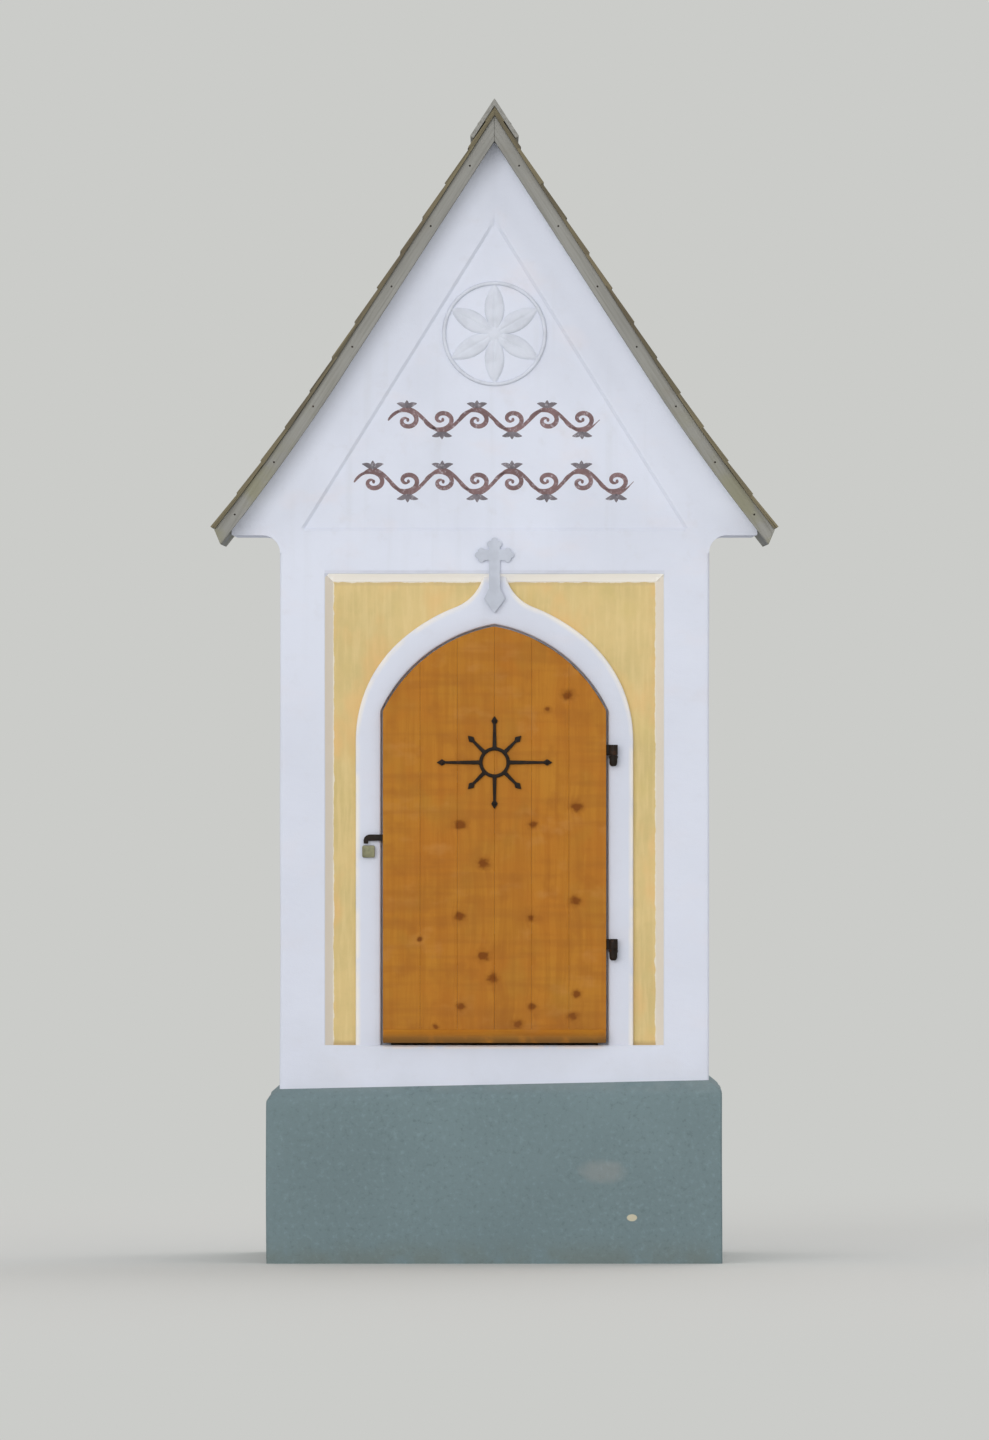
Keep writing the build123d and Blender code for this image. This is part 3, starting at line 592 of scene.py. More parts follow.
def shingle_wood():
    """Split shingles, each with its own tone, under dark grain lines and browner patches."""
    tone = bpy.context.scene.shrine_roof.shingle
    finish = Finish("shingle_wood")
    run, rise = slope_place(finish)
    own = finish.mark("tone")
    place = finish.vector(run * 4.0, rise * 40.0, (finish.y + own) * 130.0)
    lines = finish.noise(1.0, 4.0, place=place, roughness=0.6)
    base = finish.coats(shade(tone, 0.72), [
        (own, shade(tone, 1.28)),
        (lines.rise(0.42, 0.68) * 0.6, srgb(74, 68, 60)),
        (finish.clouds(4.0, 3.0, 0.45, 0.7) * 0.35, srgb(98, 86, 68)),
    ])
    return finish.done(base, 0.88, finish.bump(lines, 0.0014))


def iron(name):
    """Blackened wrought iron with hammer marks and a breath of rust."""
    tone = bpy.context.scene.shrine_door.iron
    finish = Finish(name)
    base = finish.coats(tone, [
        (finish.clouds(70.0, 3.0, 0.4, 0.7) * 0.5, shade(tone, 1.8)),
        (finish.clouds(45.0, 5.0, 0.56, 0.72, roughness=0.7) * 0.45, srgb(92, 56, 34)),
    ])
    rough = finish.noise(60.0, 3.0) * 0.3 + 0.46
    return finish.done(base, rough, finish.bump(finish.noise(95.0, 2.0), 0.0009), 0.1, specular=0.22)


def zinc_case():
    """Dull olive-grey cast metal with darker clouds."""
    tone = bpy.context.scene.shrine_door.case
    finish = Finish("zinc_case")
    base = finish.coats(shade(tone, 1.15), [(finish.clouds(60.0, 4.0, 0.35, 0.7), shade(tone, 0.75))])
    return finish.done(base, 0.5, finish.bump(finish.noise(140.0, 2.0), 0.0004), 0.35)


def spaced(stops, step):
    """Every stop, with the stretches between them cut into even steps of about that size."""
    counts = [max(1, round((end - start) / step)) for start, end in zip(stops, stops[1:])]
    runs = [np.linspace(start, end, count, endpoint=False)
            for start, end, count in zip(stops, stops[1:], counts)]
    return np.concatenate([*runs, [stops[-1]]])


def points_of(*axes):
    """Array of points from numbers or arrays, one for each axis, that stretch to a common shape."""
    return np.stack(np.broadcast_arrays(*axes), axis=-1).astype(float)


def cells(rows, columns, closed=False):
    """Corners of a grid's cells, anticlockwise where columns run right and rows run up."""
    index = np.arange(rows * columns).reshape(rows, columns)
    if closed:
        index = np.hstack([index, index[:, :1]])
    return np.stack([index[:-1, :-1], index[:-1, 1:], index[1:, 1:], index[1:, :-1]], axis=-1)


def once_round(count):
    """Angles spaced evenly once round."""
    return np.linspace(0, 2 * pi, count, endpoint=False)


def row_face(row, columns):
    """One face over all the points of a grid's row."""
    return list(range(row * columns, (row + 1) * columns))


def tube(points):
    """Points and faces of a run of closed outlines, one a row, with the first and the last filled in."""
    rows, columns = points.shape[:2]
    walls = cells(rows, columns, closed=True).reshape(-1, 4).tolist()
    return points.reshape(-1, 3), [*walls, row_face(0, columns)[::-1], row_face(rows - 1, columns)]


def slab_behind(points, y_back):
    """Closes a relief: a rim from its edge straight back to a depth, and a flat face there."""
    rows, columns = points.shape[:2]
    index = np.arange(rows * columns).reshape(rows, columns)
    edge = np.concatenate([index[0, :-1], index[:-1, -1], index[-1, :0:-1], index[:0:-1, 0]])
    flat = points.reshape(-1, 3)
    rim = flat[edge].copy()
    rim[:, 1] = y_back
    behind = rows * columns + np.arange(len(edge))
    sides = np.stack([edge, behind, np.roll(behind, -1), np.roll(edge, -1)], axis=-1)
    faces = [*cells(rows, columns).reshape(-1, 4).tolist(), *sides.tolist(), behind[::-1].tolist()]
    return np.vstack([flat, rim]), faces


def joined(parts):
    """Several (points, faces) pairs as one."""
    faces = []
    start = 0
    for points, some_faces in parts:
        faces += [[corner + start for corner in face] for face in some_faces]
        start += len(points)
    return np.vstack([points for points, _ in parts]), faces


def new_object(name, data):
    """An object of some data, in the scene."""
    made = bpy.data.objects.new(name, data)
    bpy.context.scene.collection.objects.link(made)
    return made


def place_piece(name, mesh, material, nodes, body):
    """Makes an object of a mesh, gives it its finish, and lets it ride on a body in place of some nodes."""
    mesh.materials.append(material)
    piece = new_object(name, mesh)
    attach(piece, body)
    if nodes:
        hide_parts(*nodes)
    return piece


def build(name, shape, material, nodes=(), body="masonry", turn=30.0, closed=True):
    """A piece from points and faces, smooth except where its faces turn by more than an angle."""
    points, faces = shape
    mesh = bpy.data.meshes.new(name)
    mesh.from_pydata(points.tolist(), [], faces)
    outward = bmesh.new()
    outward.from_mesh(mesh)
    if closed and outward.calc_volume(signed=True) < 0:
        bmesh.ops.reverse_faces(outward, faces=outward.faces)
    outward.to_mesh(mesh)
    outward.free()
    mesh.shade_smooth()
    mesh.set_sharp_from_angle(angle=radians(turn))
    return place_piece(name, mesh, material, nodes, body)


def softened(name, node, material, body, width, segments=2):
    """A frame node's own shape with its sharp edges rounded over."""
    mesh = bpy.data.meshes.new(name)
    merged = bmesh.new()
    merged.from_mesh(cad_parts[node].data)
    bmesh.ops.remove_doubles(merged, verts=merged.verts, dist=1e-5)
    bmesh.ops.dissolve_limit(merged, angle_limit=radians(0.5), verts=merged.verts, edges=merged.edges)
    merged.to_mesh(mesh)
    merged.free()
    mesh.shade_smooth()
    piece = place_piece(name, mesh, material, [node], body)
    rounding = piece.modifiers.new("rounding", "BEVEL")
    rounding.width = width
    rounding.segments = segments
    rounding.limit_method = "ANGLE"
    rounding.angle_limit = radians(25.0)
    rounding.harden_normals = True
    return piece


def coat(node, material):
    """Gives a frame node its finish."""
    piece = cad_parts[node]
    piece.data.materials.clear()
    piece.data.materials.append(material)


def mark(piece, name, values):
    """Gives a piece a number at each of its points, under a name that its finish reads."""
    layer = piece.data.attributes.new(name, "FLOAT", "POINT")
    layer.data.foreach_set("value", np.ravel(values).astype(np.float32))


trowel_draw = np.random.default_rng(11)
TROWEL_WAVES = trowel_draw.normal(0.0, 8.0, (16, 3))
TROWEL_PHASES = trowel_draw.uniform(0.0, 2 * pi, 16)


def trowelled(points, ways):
    """Moves points of render along their ways, as far as its unevenness lets them stray, by the sum of sine
    waves that run in every direction."""
    reach = bpy.context.scene.shrine_render.uneven
    swell = np.sin(points @ TROWEL_WAVES.T + TROWEL_PHASES).sum(axis=-1) / sqrt(len(TROWEL_PHASES) / 2)
    return points + ways * (reach * swell)[..., None]


def plan_loop(half_x, half_y, radius, front_stops, step):
    """Rounded rectangle seen from above, anticlockwise from the front's left end, with the ways it faces."""
    inner_x = half_x - radius
    inner_y = half_y - radius
    depth = spaced([-inner_y, inner_y], step)
    behind = spaced([-inner_x, inner_x], step)[::-1]
    sides = [
        (spaced(front_stops, step), -half_y, 0.0, -1.0),
        (half_x, depth, 1.0, 0.0),
        (behind, half_y, 0.0, 1.0),
        (-half_x, depth[::-1], -1.0, 0.0),
    ]
    corners = [(inner_x, -inner_y), (inner_x, inner_y), (-inner_x, inner_y), (-inner_x, -inner_y)]
    places = []
    facing = []
    for quarter, ((side_x, side_y, *way), corner) in enumerate(zip(sides, corners)):
        side = points_of(side_x, side_y)
        angle = np.linspace(0, pi / 2, 6)[1:-1] + (quarter - 1) * pi / 2
        arc = points_of(np.cos(angle), np.sin(angle))
        places += [side, arc * radius + corner]
        facing += [np.tile(way, (len(side), 1)), arc]
    return np.vstack(places), np.vstack(facing)


def raised(loop, heights):
    """A plan loop carried up through heights, with the ways that its columns face."""
    plan, facing = loop
    return points_of(plan[:, 0], plan[:, 1], heights[:, None]), points_of(facing[:, 0], facing[:, 1], 0.0)


def roof_height(x, above):
    """Height of the surface that lies a distance above the boards' underside: a straight slope, then the
    lower part of a circle about a centre outside the roof."""
    x = np.abs(x)
    straight = roof_apex + above / cos(ROOF_PITCH) - x * tan(ROOF_PITCH)
    reach = FLARE_RADIUS - above
    flared = flare_z - np.sqrt(np.maximum(reach**2 - (flare_x - x) ** 2, 0.0))
    return np.where(x <= flare_start + above * sin(ROOF_PITCH), straight, flared)


def arc_run(centre, radius, start, end, count, whole=False):
    """Points of an arc between two angles, without its last unless the arc is whole."""
    angle = np.linspace(start, end, count, endpoint=whole)
    return points_of(centre[0] + radius * np.cos(angle), centre[1] + radius * np.sin(angle))


def mirrored(right):
    """A whole outline, left foot over the middle to right foot, from its right half, foot to middle."""
    return np.vstack([right[:-1] * (-1.0, 1.0), right[::-1]])


def arch_angles(grow):
    """Angles about the arc's centre where the door's outline, grown by a margin, leaves its jamb and meets
    the middle."""
    radius = arch_radius + grow
    spring = asin(sqrt(radius**2 - (door_half + grow - arch_x) ** 2) / radius)
    return spring, atan2(sqrt(radius**2 - arch_x**2), -arch_x)


def arch_outline(grow):
    """The door's pointed outline grown by a margin, from the rail's top at the left over to the right."""
    jamb_points = 34
    arc_points = 30
    arc = arc_run((arch_x, arch_z), arch_radius + grow, *arch_angles(grow), arc_points, whole=True)
    heights = np.linspace(rail_top, arc[0, 1], jamb_points, endpoint=False)
    return mirrored(np.vstack([points_of(door_half + grow, heights), arc]))


def inside_arch(x, z, grow):
    """True where a place lies inside the door's outline grown by a margin."""
    under_arc = np.hypot(np.abs(x) - arch_x, z - arch_z) < arch_radius + grow
    return (np.abs(x) < door_half + grow) & (under_arc | (z < door_spring))


def surround_rims():
    """The right half of the surround's two rims, foot to middle, in pairs of points that face each other.

    The outer rim is a jamb, a round shoulder, an arc about the door's centre and a reversed arc to the neck;
    the inner one is the doorway's jamb and arc, cut at the same angles about the door's centre.
    """
    top = field_top + FIELD_BEVEL
    centre = (arch_x, arch_z)
    inner = arch_radius + DOOR_GAP
    outer = inner + SURROUND_ARCH_BAND

    def touching(x, radius):
        """Centre at x of an arc that touches the outer arc, and its angle about the door's centre."""
        rise = sqrt(radius**2 - (x - arch_x) ** 2)
        return (x, arch_z + rise), atan2(rise, x - arch_x)

    shoulder, shoulder_angle = touching(jamb_outer - SHOULDER_RADIUS, outer - SHOULDER_RADIUS)
    neck, reverse_angle = touching(NECK_WIDTH / 2 + OGEE_RADIUS, outer + OGEE_RADIUS)
    tip_angle = pi - asin((top - neck[1]) / OGEE_RADIUS)
    tip_x = neck[0] + OGEE_RADIUS * cos(tip_angle)
    jamb_count, *arc_counts = (46, 16, 14, 14, 5)
    outer_rim = np.vstack([
        points_of(jamb_outer, np.linspace(rail_top, shoulder[1], jamb_count, endpoint=False)),
        arc_run(shoulder, SHOULDER_RADIUS, 0.0, shoulder_angle, arc_counts[0]),
        arc_run(centre, outer, shoulder_angle, reverse_angle, arc_counts[1]),
        arc_run(neck, OGEE_RADIUS, reverse_angle + pi, tip_angle, arc_counts[2]),
        points_of(np.linspace(tip_x, 0.0, arc_counts[3]), top),
    ])
    spring_angle, apex_angle = arch_angles(DOOR_GAP)
    neck_angle = reverse_angle + (apex_angle - reverse_angle) * 0.75
    spring_z = arch_z + inner * sin(spring_angle)
    angles = [spring_angle, shoulder_angle, reverse_angle, neck_angle, apex_angle]
    inner_rim = np.vstack([
        points_of(door_half + DOOR_GAP, np.linspace(rail_top, spring_z, jamb_count, endpoint=False)),
        *(arc_run(centre, inner, start, end, count, whole=end == apex_angle)
          for start, end, count in zip(angles, angles[1:], arc_counts)),
    ])
    return inner_rim, outer_rim


class SHRINE_OT_plinth(bpy.types.Operator):
    """Plinth: a rounded rectangle raised to a weathered head that slants with the ground it was built on."""

    bl_idname = "shrine.plinth"
    bl_label = "Plinth"

    def execute(self, context):
        sizes = context.scene.shrine_render
        inner = plinth_half - sizes.arris
        arris_z = PLINTH_HEIGHT - PLINTH_BEVEL
        worn = sizes.arris * 0.6
        heights = np.concatenate([
            spaced([0.0, arris_z - worn], sizes.mesh_step),
            [arris_z - worn * 0.3, arris_z + worn * 0.25],
            np.linspace(arris_z + worn, PLINTH_HEIGHT, 4),
        ])
        loop = plan_loop(plinth_half, plinth_back, sizes.arris, [-inner, inner], sizes.mesh_step)
        points, ways = raised(loop, heights)
        inset = (plinth_half - body_half) * np.clip((heights - arris_z) / PLINTH_BEVEL, 0.0, 1.0)
        inset += worn * 0.18 * np.exp(-((heights - arris_z) / worn) ** 2)
        points[..., 0] *= 1 - inset[:, None] / plinth_half
        points[..., 1] *= 1 - inset[:, None] / plinth_back
        points[..., 2] += points[..., 0] * tan(PLINTH_SLANT) * np.clip(points[..., 2] / arris_z, 0.0, 1.0)
        points = trowelled(points, ways)
        build("plinth_coat", tube(points), plinth_render(), ["plinth"])
        return {"FINISHED"}


class SHRINE_OT_walls(bpy.types.Operator):
    """Walls: one coat of lime render round the body, pressed in at the front to the bevelled recess of the
    coloured field, and left open at the doorway."""

    bl_idname = "shrine.walls"
    bl_label = "Walls"

    def execute(self, context):
        sizes = context.scene.shrine_render
        step = sizes.mesh_step
        bevel_half = field_half + FIELD_BEVEL
        inner = body_half - sizes.arris
        stops = [-inner, -bevel_half, -field_half, field_half, bevel_half, inner]
        lip = 0.004
        sharp = 0.0004
        next_row = 0.010
        heights = np.concatenate([
            spaced([PLINTH_HEIGHT - FOOT_DEPTH, rail_top - lip], step),
            [rail_top, rail_top + sharp],
            spaced([rail_top + next_row, field_top, field_top + FIELD_BEVEL, wall_top], step),
        ])
        points, ways = raised(plan_loop(body_half, back, sizes.arris, stops, step), heights)
        x, z = points[..., 0], points[..., 2]
        into_bevel = 1.0 - np.maximum(np.abs(x) - field_half, z - field_top) / FIELD_BEVEL
        depth = np.clip(into_bevel, 0.0, 1.0) * (panel_front - front)
        in_field = (np.abs(x) < field_half - SLIGHT) & (z < field_top - SLIGHT)
        depth = np.where(in_field, core_front - front, depth)
        depth = np.where(z > rail_top, depth, 0.0)
        at_lip = (np.abs(z - rail_top) < SLIGHT) & (np.abs(x) < field_half + SLIGHT)
        depth = np.where(at_lip, lip, depth)
        points[..., 1] += np.where(ways[:, 1] < -0.99, depth, 0.0)
        foot = np.clip((rail_top - z) / (rail_top - PLINTH_HEIGHT), 0.0, 1.0)
        points[..., 2] += x * tan(PLINTH_SLANT) * foot
        points = trowelled(points, ways)
        rows, columns = points.shape[:2]
        faces = cells(rows, columns, closed=True)
        middle = points.reshape(-1, 3)[faces].mean(axis=2)
        covered = inside_arch(middle[..., 0], middle[..., 2], DOOR_GAP + SURROUND_ARCH_BAND / 2)
        doorway = covered & (middle[..., 1] < 0) & (middle[..., 2] > rail_top + sharp)
        ends = [row_face(0, columns)[::-1], row_face(rows - 1, columns)]
        shape = (points.reshape(-1, 3), [*faces[~doorway].tolist(), *ends])
        nodes = ["floor_course", "back_wall", "side_wall_left", "side_wall_right", "niche_vault", "lintel",
                 "bottom_rail", "pilaster_left", "pilaster_right"]
        build("wall_coat", shape, white_render("wall_lime", bevel=True), nodes, closed=False)
        return {"FINISHED"}


class SHRINE_OT_niche(bpy.types.Operator):
    """Niche: the door's outline, drawn in by the stop, carried from the doorway back to the niche's end."""

    bl_idname = "shrine.niche"
    bl_label = "Niche"

    def execute(self, context):
        sizes = context.scene.shrine_render
        rounding = 0.003
        rows = [
            (DOOR_GAP + SURROUND_ARCH_BAND / 2, core_front),
            (DOOR_GAP, core_front),
            (niche_grow - rounding, core_front),
            (niche_grow, core_front + rounding),
        ]
        stop_rows = len(rows)
        rows += [(niche_grow, y) for y in spaced([core_front, niche_back], sizes.mesh_step * 2)[1:]]
        points = np.stack([np.insert(arch_outline(grow), 1, y, axis=1) for grow, y in rows])
        ways = np.zeros(points.shape)
        ways[stop_rows:, :, 0] = np.sign(points[stop_rows:, :, 0])
        points = trowelled(points, ways)
        count, columns = points.shape[:2]
        walls = cells(count, columns).reshape(-1, 4)[:, ::-1]
        shape = (points.reshape(-1, 3), [*walls.tolist(), row_face(count - 1, columns)[::-1]])
        build("niche_lining", shape, white_render("niche_lime"), closed=False)
        coat("niche_floor", niche_stone())
        return {"FINISHED"}


class SHRINE_OT_surround(bpy.types.Operator):
    """Surround: a section with two worn arrises, stretched between the rims and carried over the doorway."""

    bl_idname = "shrine.surround"
    bl_label = "Ogee surround"

    def execute(self, context):
        inner, outer = (mirrored(rim) for rim in surround_rims())
        across = np.linalg.norm(outer - inner, axis=1)[:, None]
        away = (outer - inner) / across
        worn = 0.006
        crown = 0.0012
        turn = np.linspace(0, pi / 2, 5)
        round_up = surround_front + worn * (1 - np.sin(turn))
        share = np.linspace(0, 1, 7)[1:-1]
        near = np.concatenate([[0.0], worn * (1 - np.cos(turn))])
        offset = np.hstack([np.tile(near, (len(across), 1)), worn + (across - 2 * worn) * share,
                            across - near[::-1]])
        flat = surround_front - crown * np.sin(pi * share)
        depth = np.concatenate([[core_front], round_up, flat, round_up[::-1], [core_front]])
        points = points_of(inner[:, :1] + away[:, :1] * offset, depth, inner[:, 1:] + away[:, 1:] * offset)
        points = trowelled(points, FORWARD * (points[..., 1:2] < core_front - SLIGHT))
        lime = white_render("surround_lime", rim=True, share=0.965)
        piece = build("surround_coat", tube(points), lime, ["arch_surround"], turn=50.0)
        # The outer arris's points, where the finish paints a cream highlight.
        rim = np.zeros(points.shape[:2])
        rim[:, -len(turn) - 1:-1] = 1.0
        mark(piece, "rim", rim)
        return {"FINISHED"}


class SHRINE_OT_field(bpy.types.Operator):
    """Coloured field beside the surround, and the cross on the ogee's tip."""

    bl_idname = "shrine.field"
    bl_label = "Coloured field and cross"

    def execute(self, context):
        ochre = ochre_render()
        for side in ("left", "right"):
            coat("panel_" + side, ochre)
        grey = flat_render("cross_render", context.scene.shrine_render.cross)
        softened("cross_relief", "cross", grey, "masonry", width=0.0035, segments=3)
        return {"FINISHED"}


def gable_points(y_face, sunk, step):
    """Relief of a gable as a grid: rows by height, and columns that follow the rakes and the sunk field's
    edges, so that the step down into the field is sharp."""
    corner_z = float(roof_height(body_half, 0.0))
    ledge = 0.009
    blunt = 0.004
    z = spaced([wall_top, gable_field_foot, gable_field_foot + ledge, corner_z, gable_field_apex,
                roof_apex - blunt], step)
    run = np.linspace(0.0, body_half, 400)
    outer = np.interp(-z, -roof_height(run, 0.0), run)
    slope = gable_field_half / (gable_field_apex - gable_field_foot)
    inner = np.clip((gable_field_apex - z) * slope, 0.01 * outer, gable_field_half)
    ledge_x = ledge / cos(rake_lean)
    field_cells = max(4, round(gable_field_half / step))
    band_cells = 12
    field = np.linspace(0, 1, field_cells + 1) * inner[:, None]
    edge_start = np.minimum(inner + ledge_x, outer * 0.5 + inner * 0.5)
    band = edge_start[:, None] + np.linspace(0, 1, band_cells + 1) * (outer - edge_start)[:, None]
    half = np.hstack([field, band])
    x = np.hstack([-half[:, :0:-1], half])
    z = np.broadcast_to(z[:, None], x.shape)
    from_rake = ((gable_field_apex - z) * slope - np.abs(x)) * cos(rake_lean)
    into = np.clip(np.minimum(from_rake + ledge, z - gable_field_foot) / ledge, 0.0, 1.0)
    return points_of(x, y_face + sunk * into, z)


class SHRINE_OT_gables(bpy.types.Operator):
    """Gables: the front one with a sunk field inside its raised rake band, the back one plain."""

    bl_idname = "shrine.gables"
    bl_label = "Gables"

    def execute(self, context):
        lime = white_render("gable_lime")
        step = context.scene.shrine_render.mesh_step
        relief = trowelled(gable_points(front, gable_front - front, step), FORWARD)
        nodes = ["gable_wall_front", "rake_band"]
        build("gable_coat_front", slab_behind(relief, gable_inner), lime, nodes)
        plain = trowelled(gable_points(-back, 0.0, step * 1.5) * (1.0, -1.0, 1.0), -FORWARD)
        build("gable_coat_back", slab_behind(plain, niche_back), lime, ["gable_wall_back"])
        return {"FINISHED"}


class SHRINE_OT_cornices(bpy.types.Operator):
    """Cornices: a section with a quarter-round cove under a flat soffit, carried along each side."""

    bl_idname = "shrine.cornices"
    bl_label = "Coved cornices"

    def execute(self, context):
        sizes = context.scene.shrine_render
        hollow = (body_half + COVE_RADIUS, wall_top - COVE_RADIUS)
        in_wall = body_half - sizes.arris - 0.001
        lip = 0.004
        nose = 0.001
        cove = arc_run(hollow, COVE_RADIUS, pi, pi / 2, 12)
        soffit = points_of(spaced([hollow[0], cornice_outer - lip], sizes.mesh_step), wall_top)
        rake_x = spaced([in_wall, cornice_outer], sizes.mesh_step)[::-1]
        section = np.vstack([
            cove,
            soffit,
            [(cornice_outer - nose, wall_top + nose), (cornice_outer, wall_top + lip)],
            points_of(rake_x, roof_height(rake_x, 0.0)),
            [(in_wall, wall_top - COVE_RADIUS)],
        ])
        flush = 0.0004
        lengthwise = spaced([front + flush, back - flush], sizes.mesh_step)
        right = points_of(section[:, 0], lengthwise[:, None], section[:, 1])
        ways = np.zeros(right.shape)
        ways[1:-1, :len(cove) + len(soffit), 2] = -1.0
        ways[0, :, 1] = -1.0
        ways[-1, :, 1] = 1.0
        right = trowelled(right, ways)
        for side, way in (("left", -1.0), ("right", 1.0)):
            lime = white_render("cornice_lime_" + side)
            build("cornice_coat_" + side, tube(right * (way, 1.0, 1.0)), lime, ["eaves_cornice_" + side])
        return {"FINISHED"}


class SHRINE_OT_rosette(bpy.types.Operator):
    """Rosette: a polar grid whose height is the most of a half-round ring, crowned petals and a dome."""

    bl_idname = "shrine.rosette"
    bl_label = "Gable rosette"

    def execute(self, context):
        middle, half = middle_and_half("gable_rosette")
        radius = half[0]
        relief = gable_front - low("gable_rosette").y
        ring_half = 0.006
        ring_start = radius - 2 * ring_half
        petal_length = radius - ring_half
        petal_half = 0.028
        vein_half = 0.0028
        eye = 0.022
        sunk = 0.0012
        behind = 0.004
        r = np.concatenate([
            spaced([0.004, ring_start], 0.003),
            np.linspace(ring_start + 0.0005, radius, 8),
        ])
        r, angle = np.meshgrid(r, once_round(240), indexing="ij")
        off = (angle - pi / 2 + pi / 6) % (pi / 3) - pi / 6
        along, aside = r * np.cos(off), r * np.sin(off)
        widest = petal_half * np.clip(1 - ((along - petal_length / 2) / (petal_length / 2)) ** 2, 1e-4, 1.0)
        crown = np.clip(1 - (aside / widest) ** 2, 0.0, 1.0) ** 0.45
        vein = 1 - 0.22 * np.exp(-((aside / vein_half) ** 2))
        petal = crown * vein * (0.55 + 0.45 * np.sin(pi * along / petal_length))
        ring = np.sqrt(np.clip(1 - ((r - petal_length) / ring_half) ** 2, 0.0, 1.0))
        dome = np.sqrt(np.clip(1 - (r / eye) ** 2, 0.0, 1.0)) * 1.05
        height = np.maximum(np.maximum(petal, ring), dome) * relief
        depth = gable_front + sunk - height - sunk * (height > 0.0005)
        points = points_of(r * np.cos(angle), depth, middle[2] + r * np.sin(angle))
        points = trowelled(points, FORWARD)
        under = points[-1:].copy()
        under[..., 1] = gable_front + behind
        lime = flat_render("rosette_lime", srgb(206, 210, 221))
        build("rosette_relief", tube(np.concatenate([points, under])), lime, ["gable_rosette"], turn=60.0)
        return {"FINISHED"}


def brush_stroke(path, half_widths, y):
    """A flat lens of paint whose middle follows a path and whose half-width changes along it."""
    way = np.gradient(path, axis=0)
    way /= np.linalg.norm(way, axis=1)[:, None]
    half_thick = 0.0006
    turn = once_round(6)
    spread = half_widths[:, None] * np.cos(turn)
    x = path[:, :1] - way[:, 1:] * spread
    z = path[:, 1:] + way[:, :1] * spread
    return tube(points_of(x, y - half_thick * np.sin(turn), z))


def scroll_row(middle_z, half_length, tall, curls, y):
    """A running vine: a cosine stem, and in each of its hollows a curl that leaves the stem's rising flank,
    winds inward as a spiral whose radius falls fast and then evenly, and ends in a berry; over each crest a
    spray of three leaves. Returns the strokes of stem, curls and berries, and those of the leaves."""
    step = 2 * half_length / curls
    swing = 0.30 * tall
    s = np.linspace(-half_length, half_length, 30 * curls)
    stem = points_of(s, middle_z + swing * np.cos(pi * (s + half_length) / step - pi / 2))
    taper = np.clip((half_length - np.abs(s)) / (0.4 * step), 0.2, 1.0)
    strokes = [brush_stroke(stem, 0.0052 * taper, y)]
    leaves = []
    t = np.linspace(0.0, 1.0, 52)
    turn = 2.75 * pi * t
    radius = 0.5 * step * (0.34 * np.exp(-8.0 * t) + 0.66 * (1 - t) ** 0.85 + 0.07)
    swell = 0.0022 + 0.0044 * np.sin(pi * np.clip(t * 1.1, 0.0, 1.0)) ** 0.7
    dot = np.linspace(0.0, 1.0, 10)
    u = np.linspace(0.0, 1.0, 12)
    leaf_half = 0.0009 + 0.0062 * np.sin(pi * u**0.8) ** 0.9
    for curl in range(curls):
        way = 1.0 if curl % 2 == 0 else -1.0
        centre = np.array([-half_length + (curl + 0.5) * step, middle_z - way * 0.02 * tall])
        spiral = centre + points_of(-radius * np.cos(turn), way * 0.80 * radius * np.sin(turn))
        berry = spiral[-1] + points_of(0.009 * (dot - 0.5), 0.0)
        strokes += [brush_stroke(spiral, swell, y),
                    brush_stroke(berry, 0.0056 * np.sin(pi * dot) ** 0.5 + 0.0002, y)]
        root = np.array([centre[0], middle_z + way * (swing + 0.002)])
        for lean, reach in ((-1.05, 0.25), (0.0, 0.21), (1.05, 0.25)):
            tip = root + reach * tall * np.array([1.25 * sin(lean), way * cos(lean)])
            bow = 0.03 * tall * lean * np.array([-cos(lean), way * sin(lean)])
            blade = root + (tip - root) * u[:, None] + bow * np.sin(pi * u)[:, None]
            leaves.append(brush_stroke(blade, leaf_half, y))
    return strokes, leaves


class SHRINE_OT_scrolls(bpy.types.Operator):
    """Painted scrolls: two rows of a running vine in thin paint on the gable's sunk field."""

    bl_idname = "shrine.scrolls"
    bl_label = "Painted scrolls"

    def execute(self, context):
        sizes = context.scene.shrine_render
        rows = [scroll_row(*row, gable_front) for row in SCROLL_ROWS]
        stems, leaves = (sum(parts, []) for parts in zip(*rows))
        for name, parts, tone in (("stems", stems, sizes.paint), ("leaves", leaves, sizes.leaf_paint)):
            points, faces = joined(parts)
            paint = scroll_paint(f"scroll_{name}_paint", tone)
            build("scroll_" + name, (trowelled(points, FORWARD), faces), paint, turn=80.0)
        return {"FINISHED"}


def board_plan(x_low, x_high, y_low, y_high, radius):
    """Rounded corners of a board seen from above, anticlockwise from its right front corner."""
    left, right, near, far = x_low + radius, x_high - radius, y_low + radius, y_high - radius
    corners = [((right, near), -pi / 2), ((right, far), 0.0), ((left, far), pi / 2), ((left, near), pi)]
    return [arc_run(centre, radius, start, start + pi / 2, 4, whole=True) for centre, start in corners]


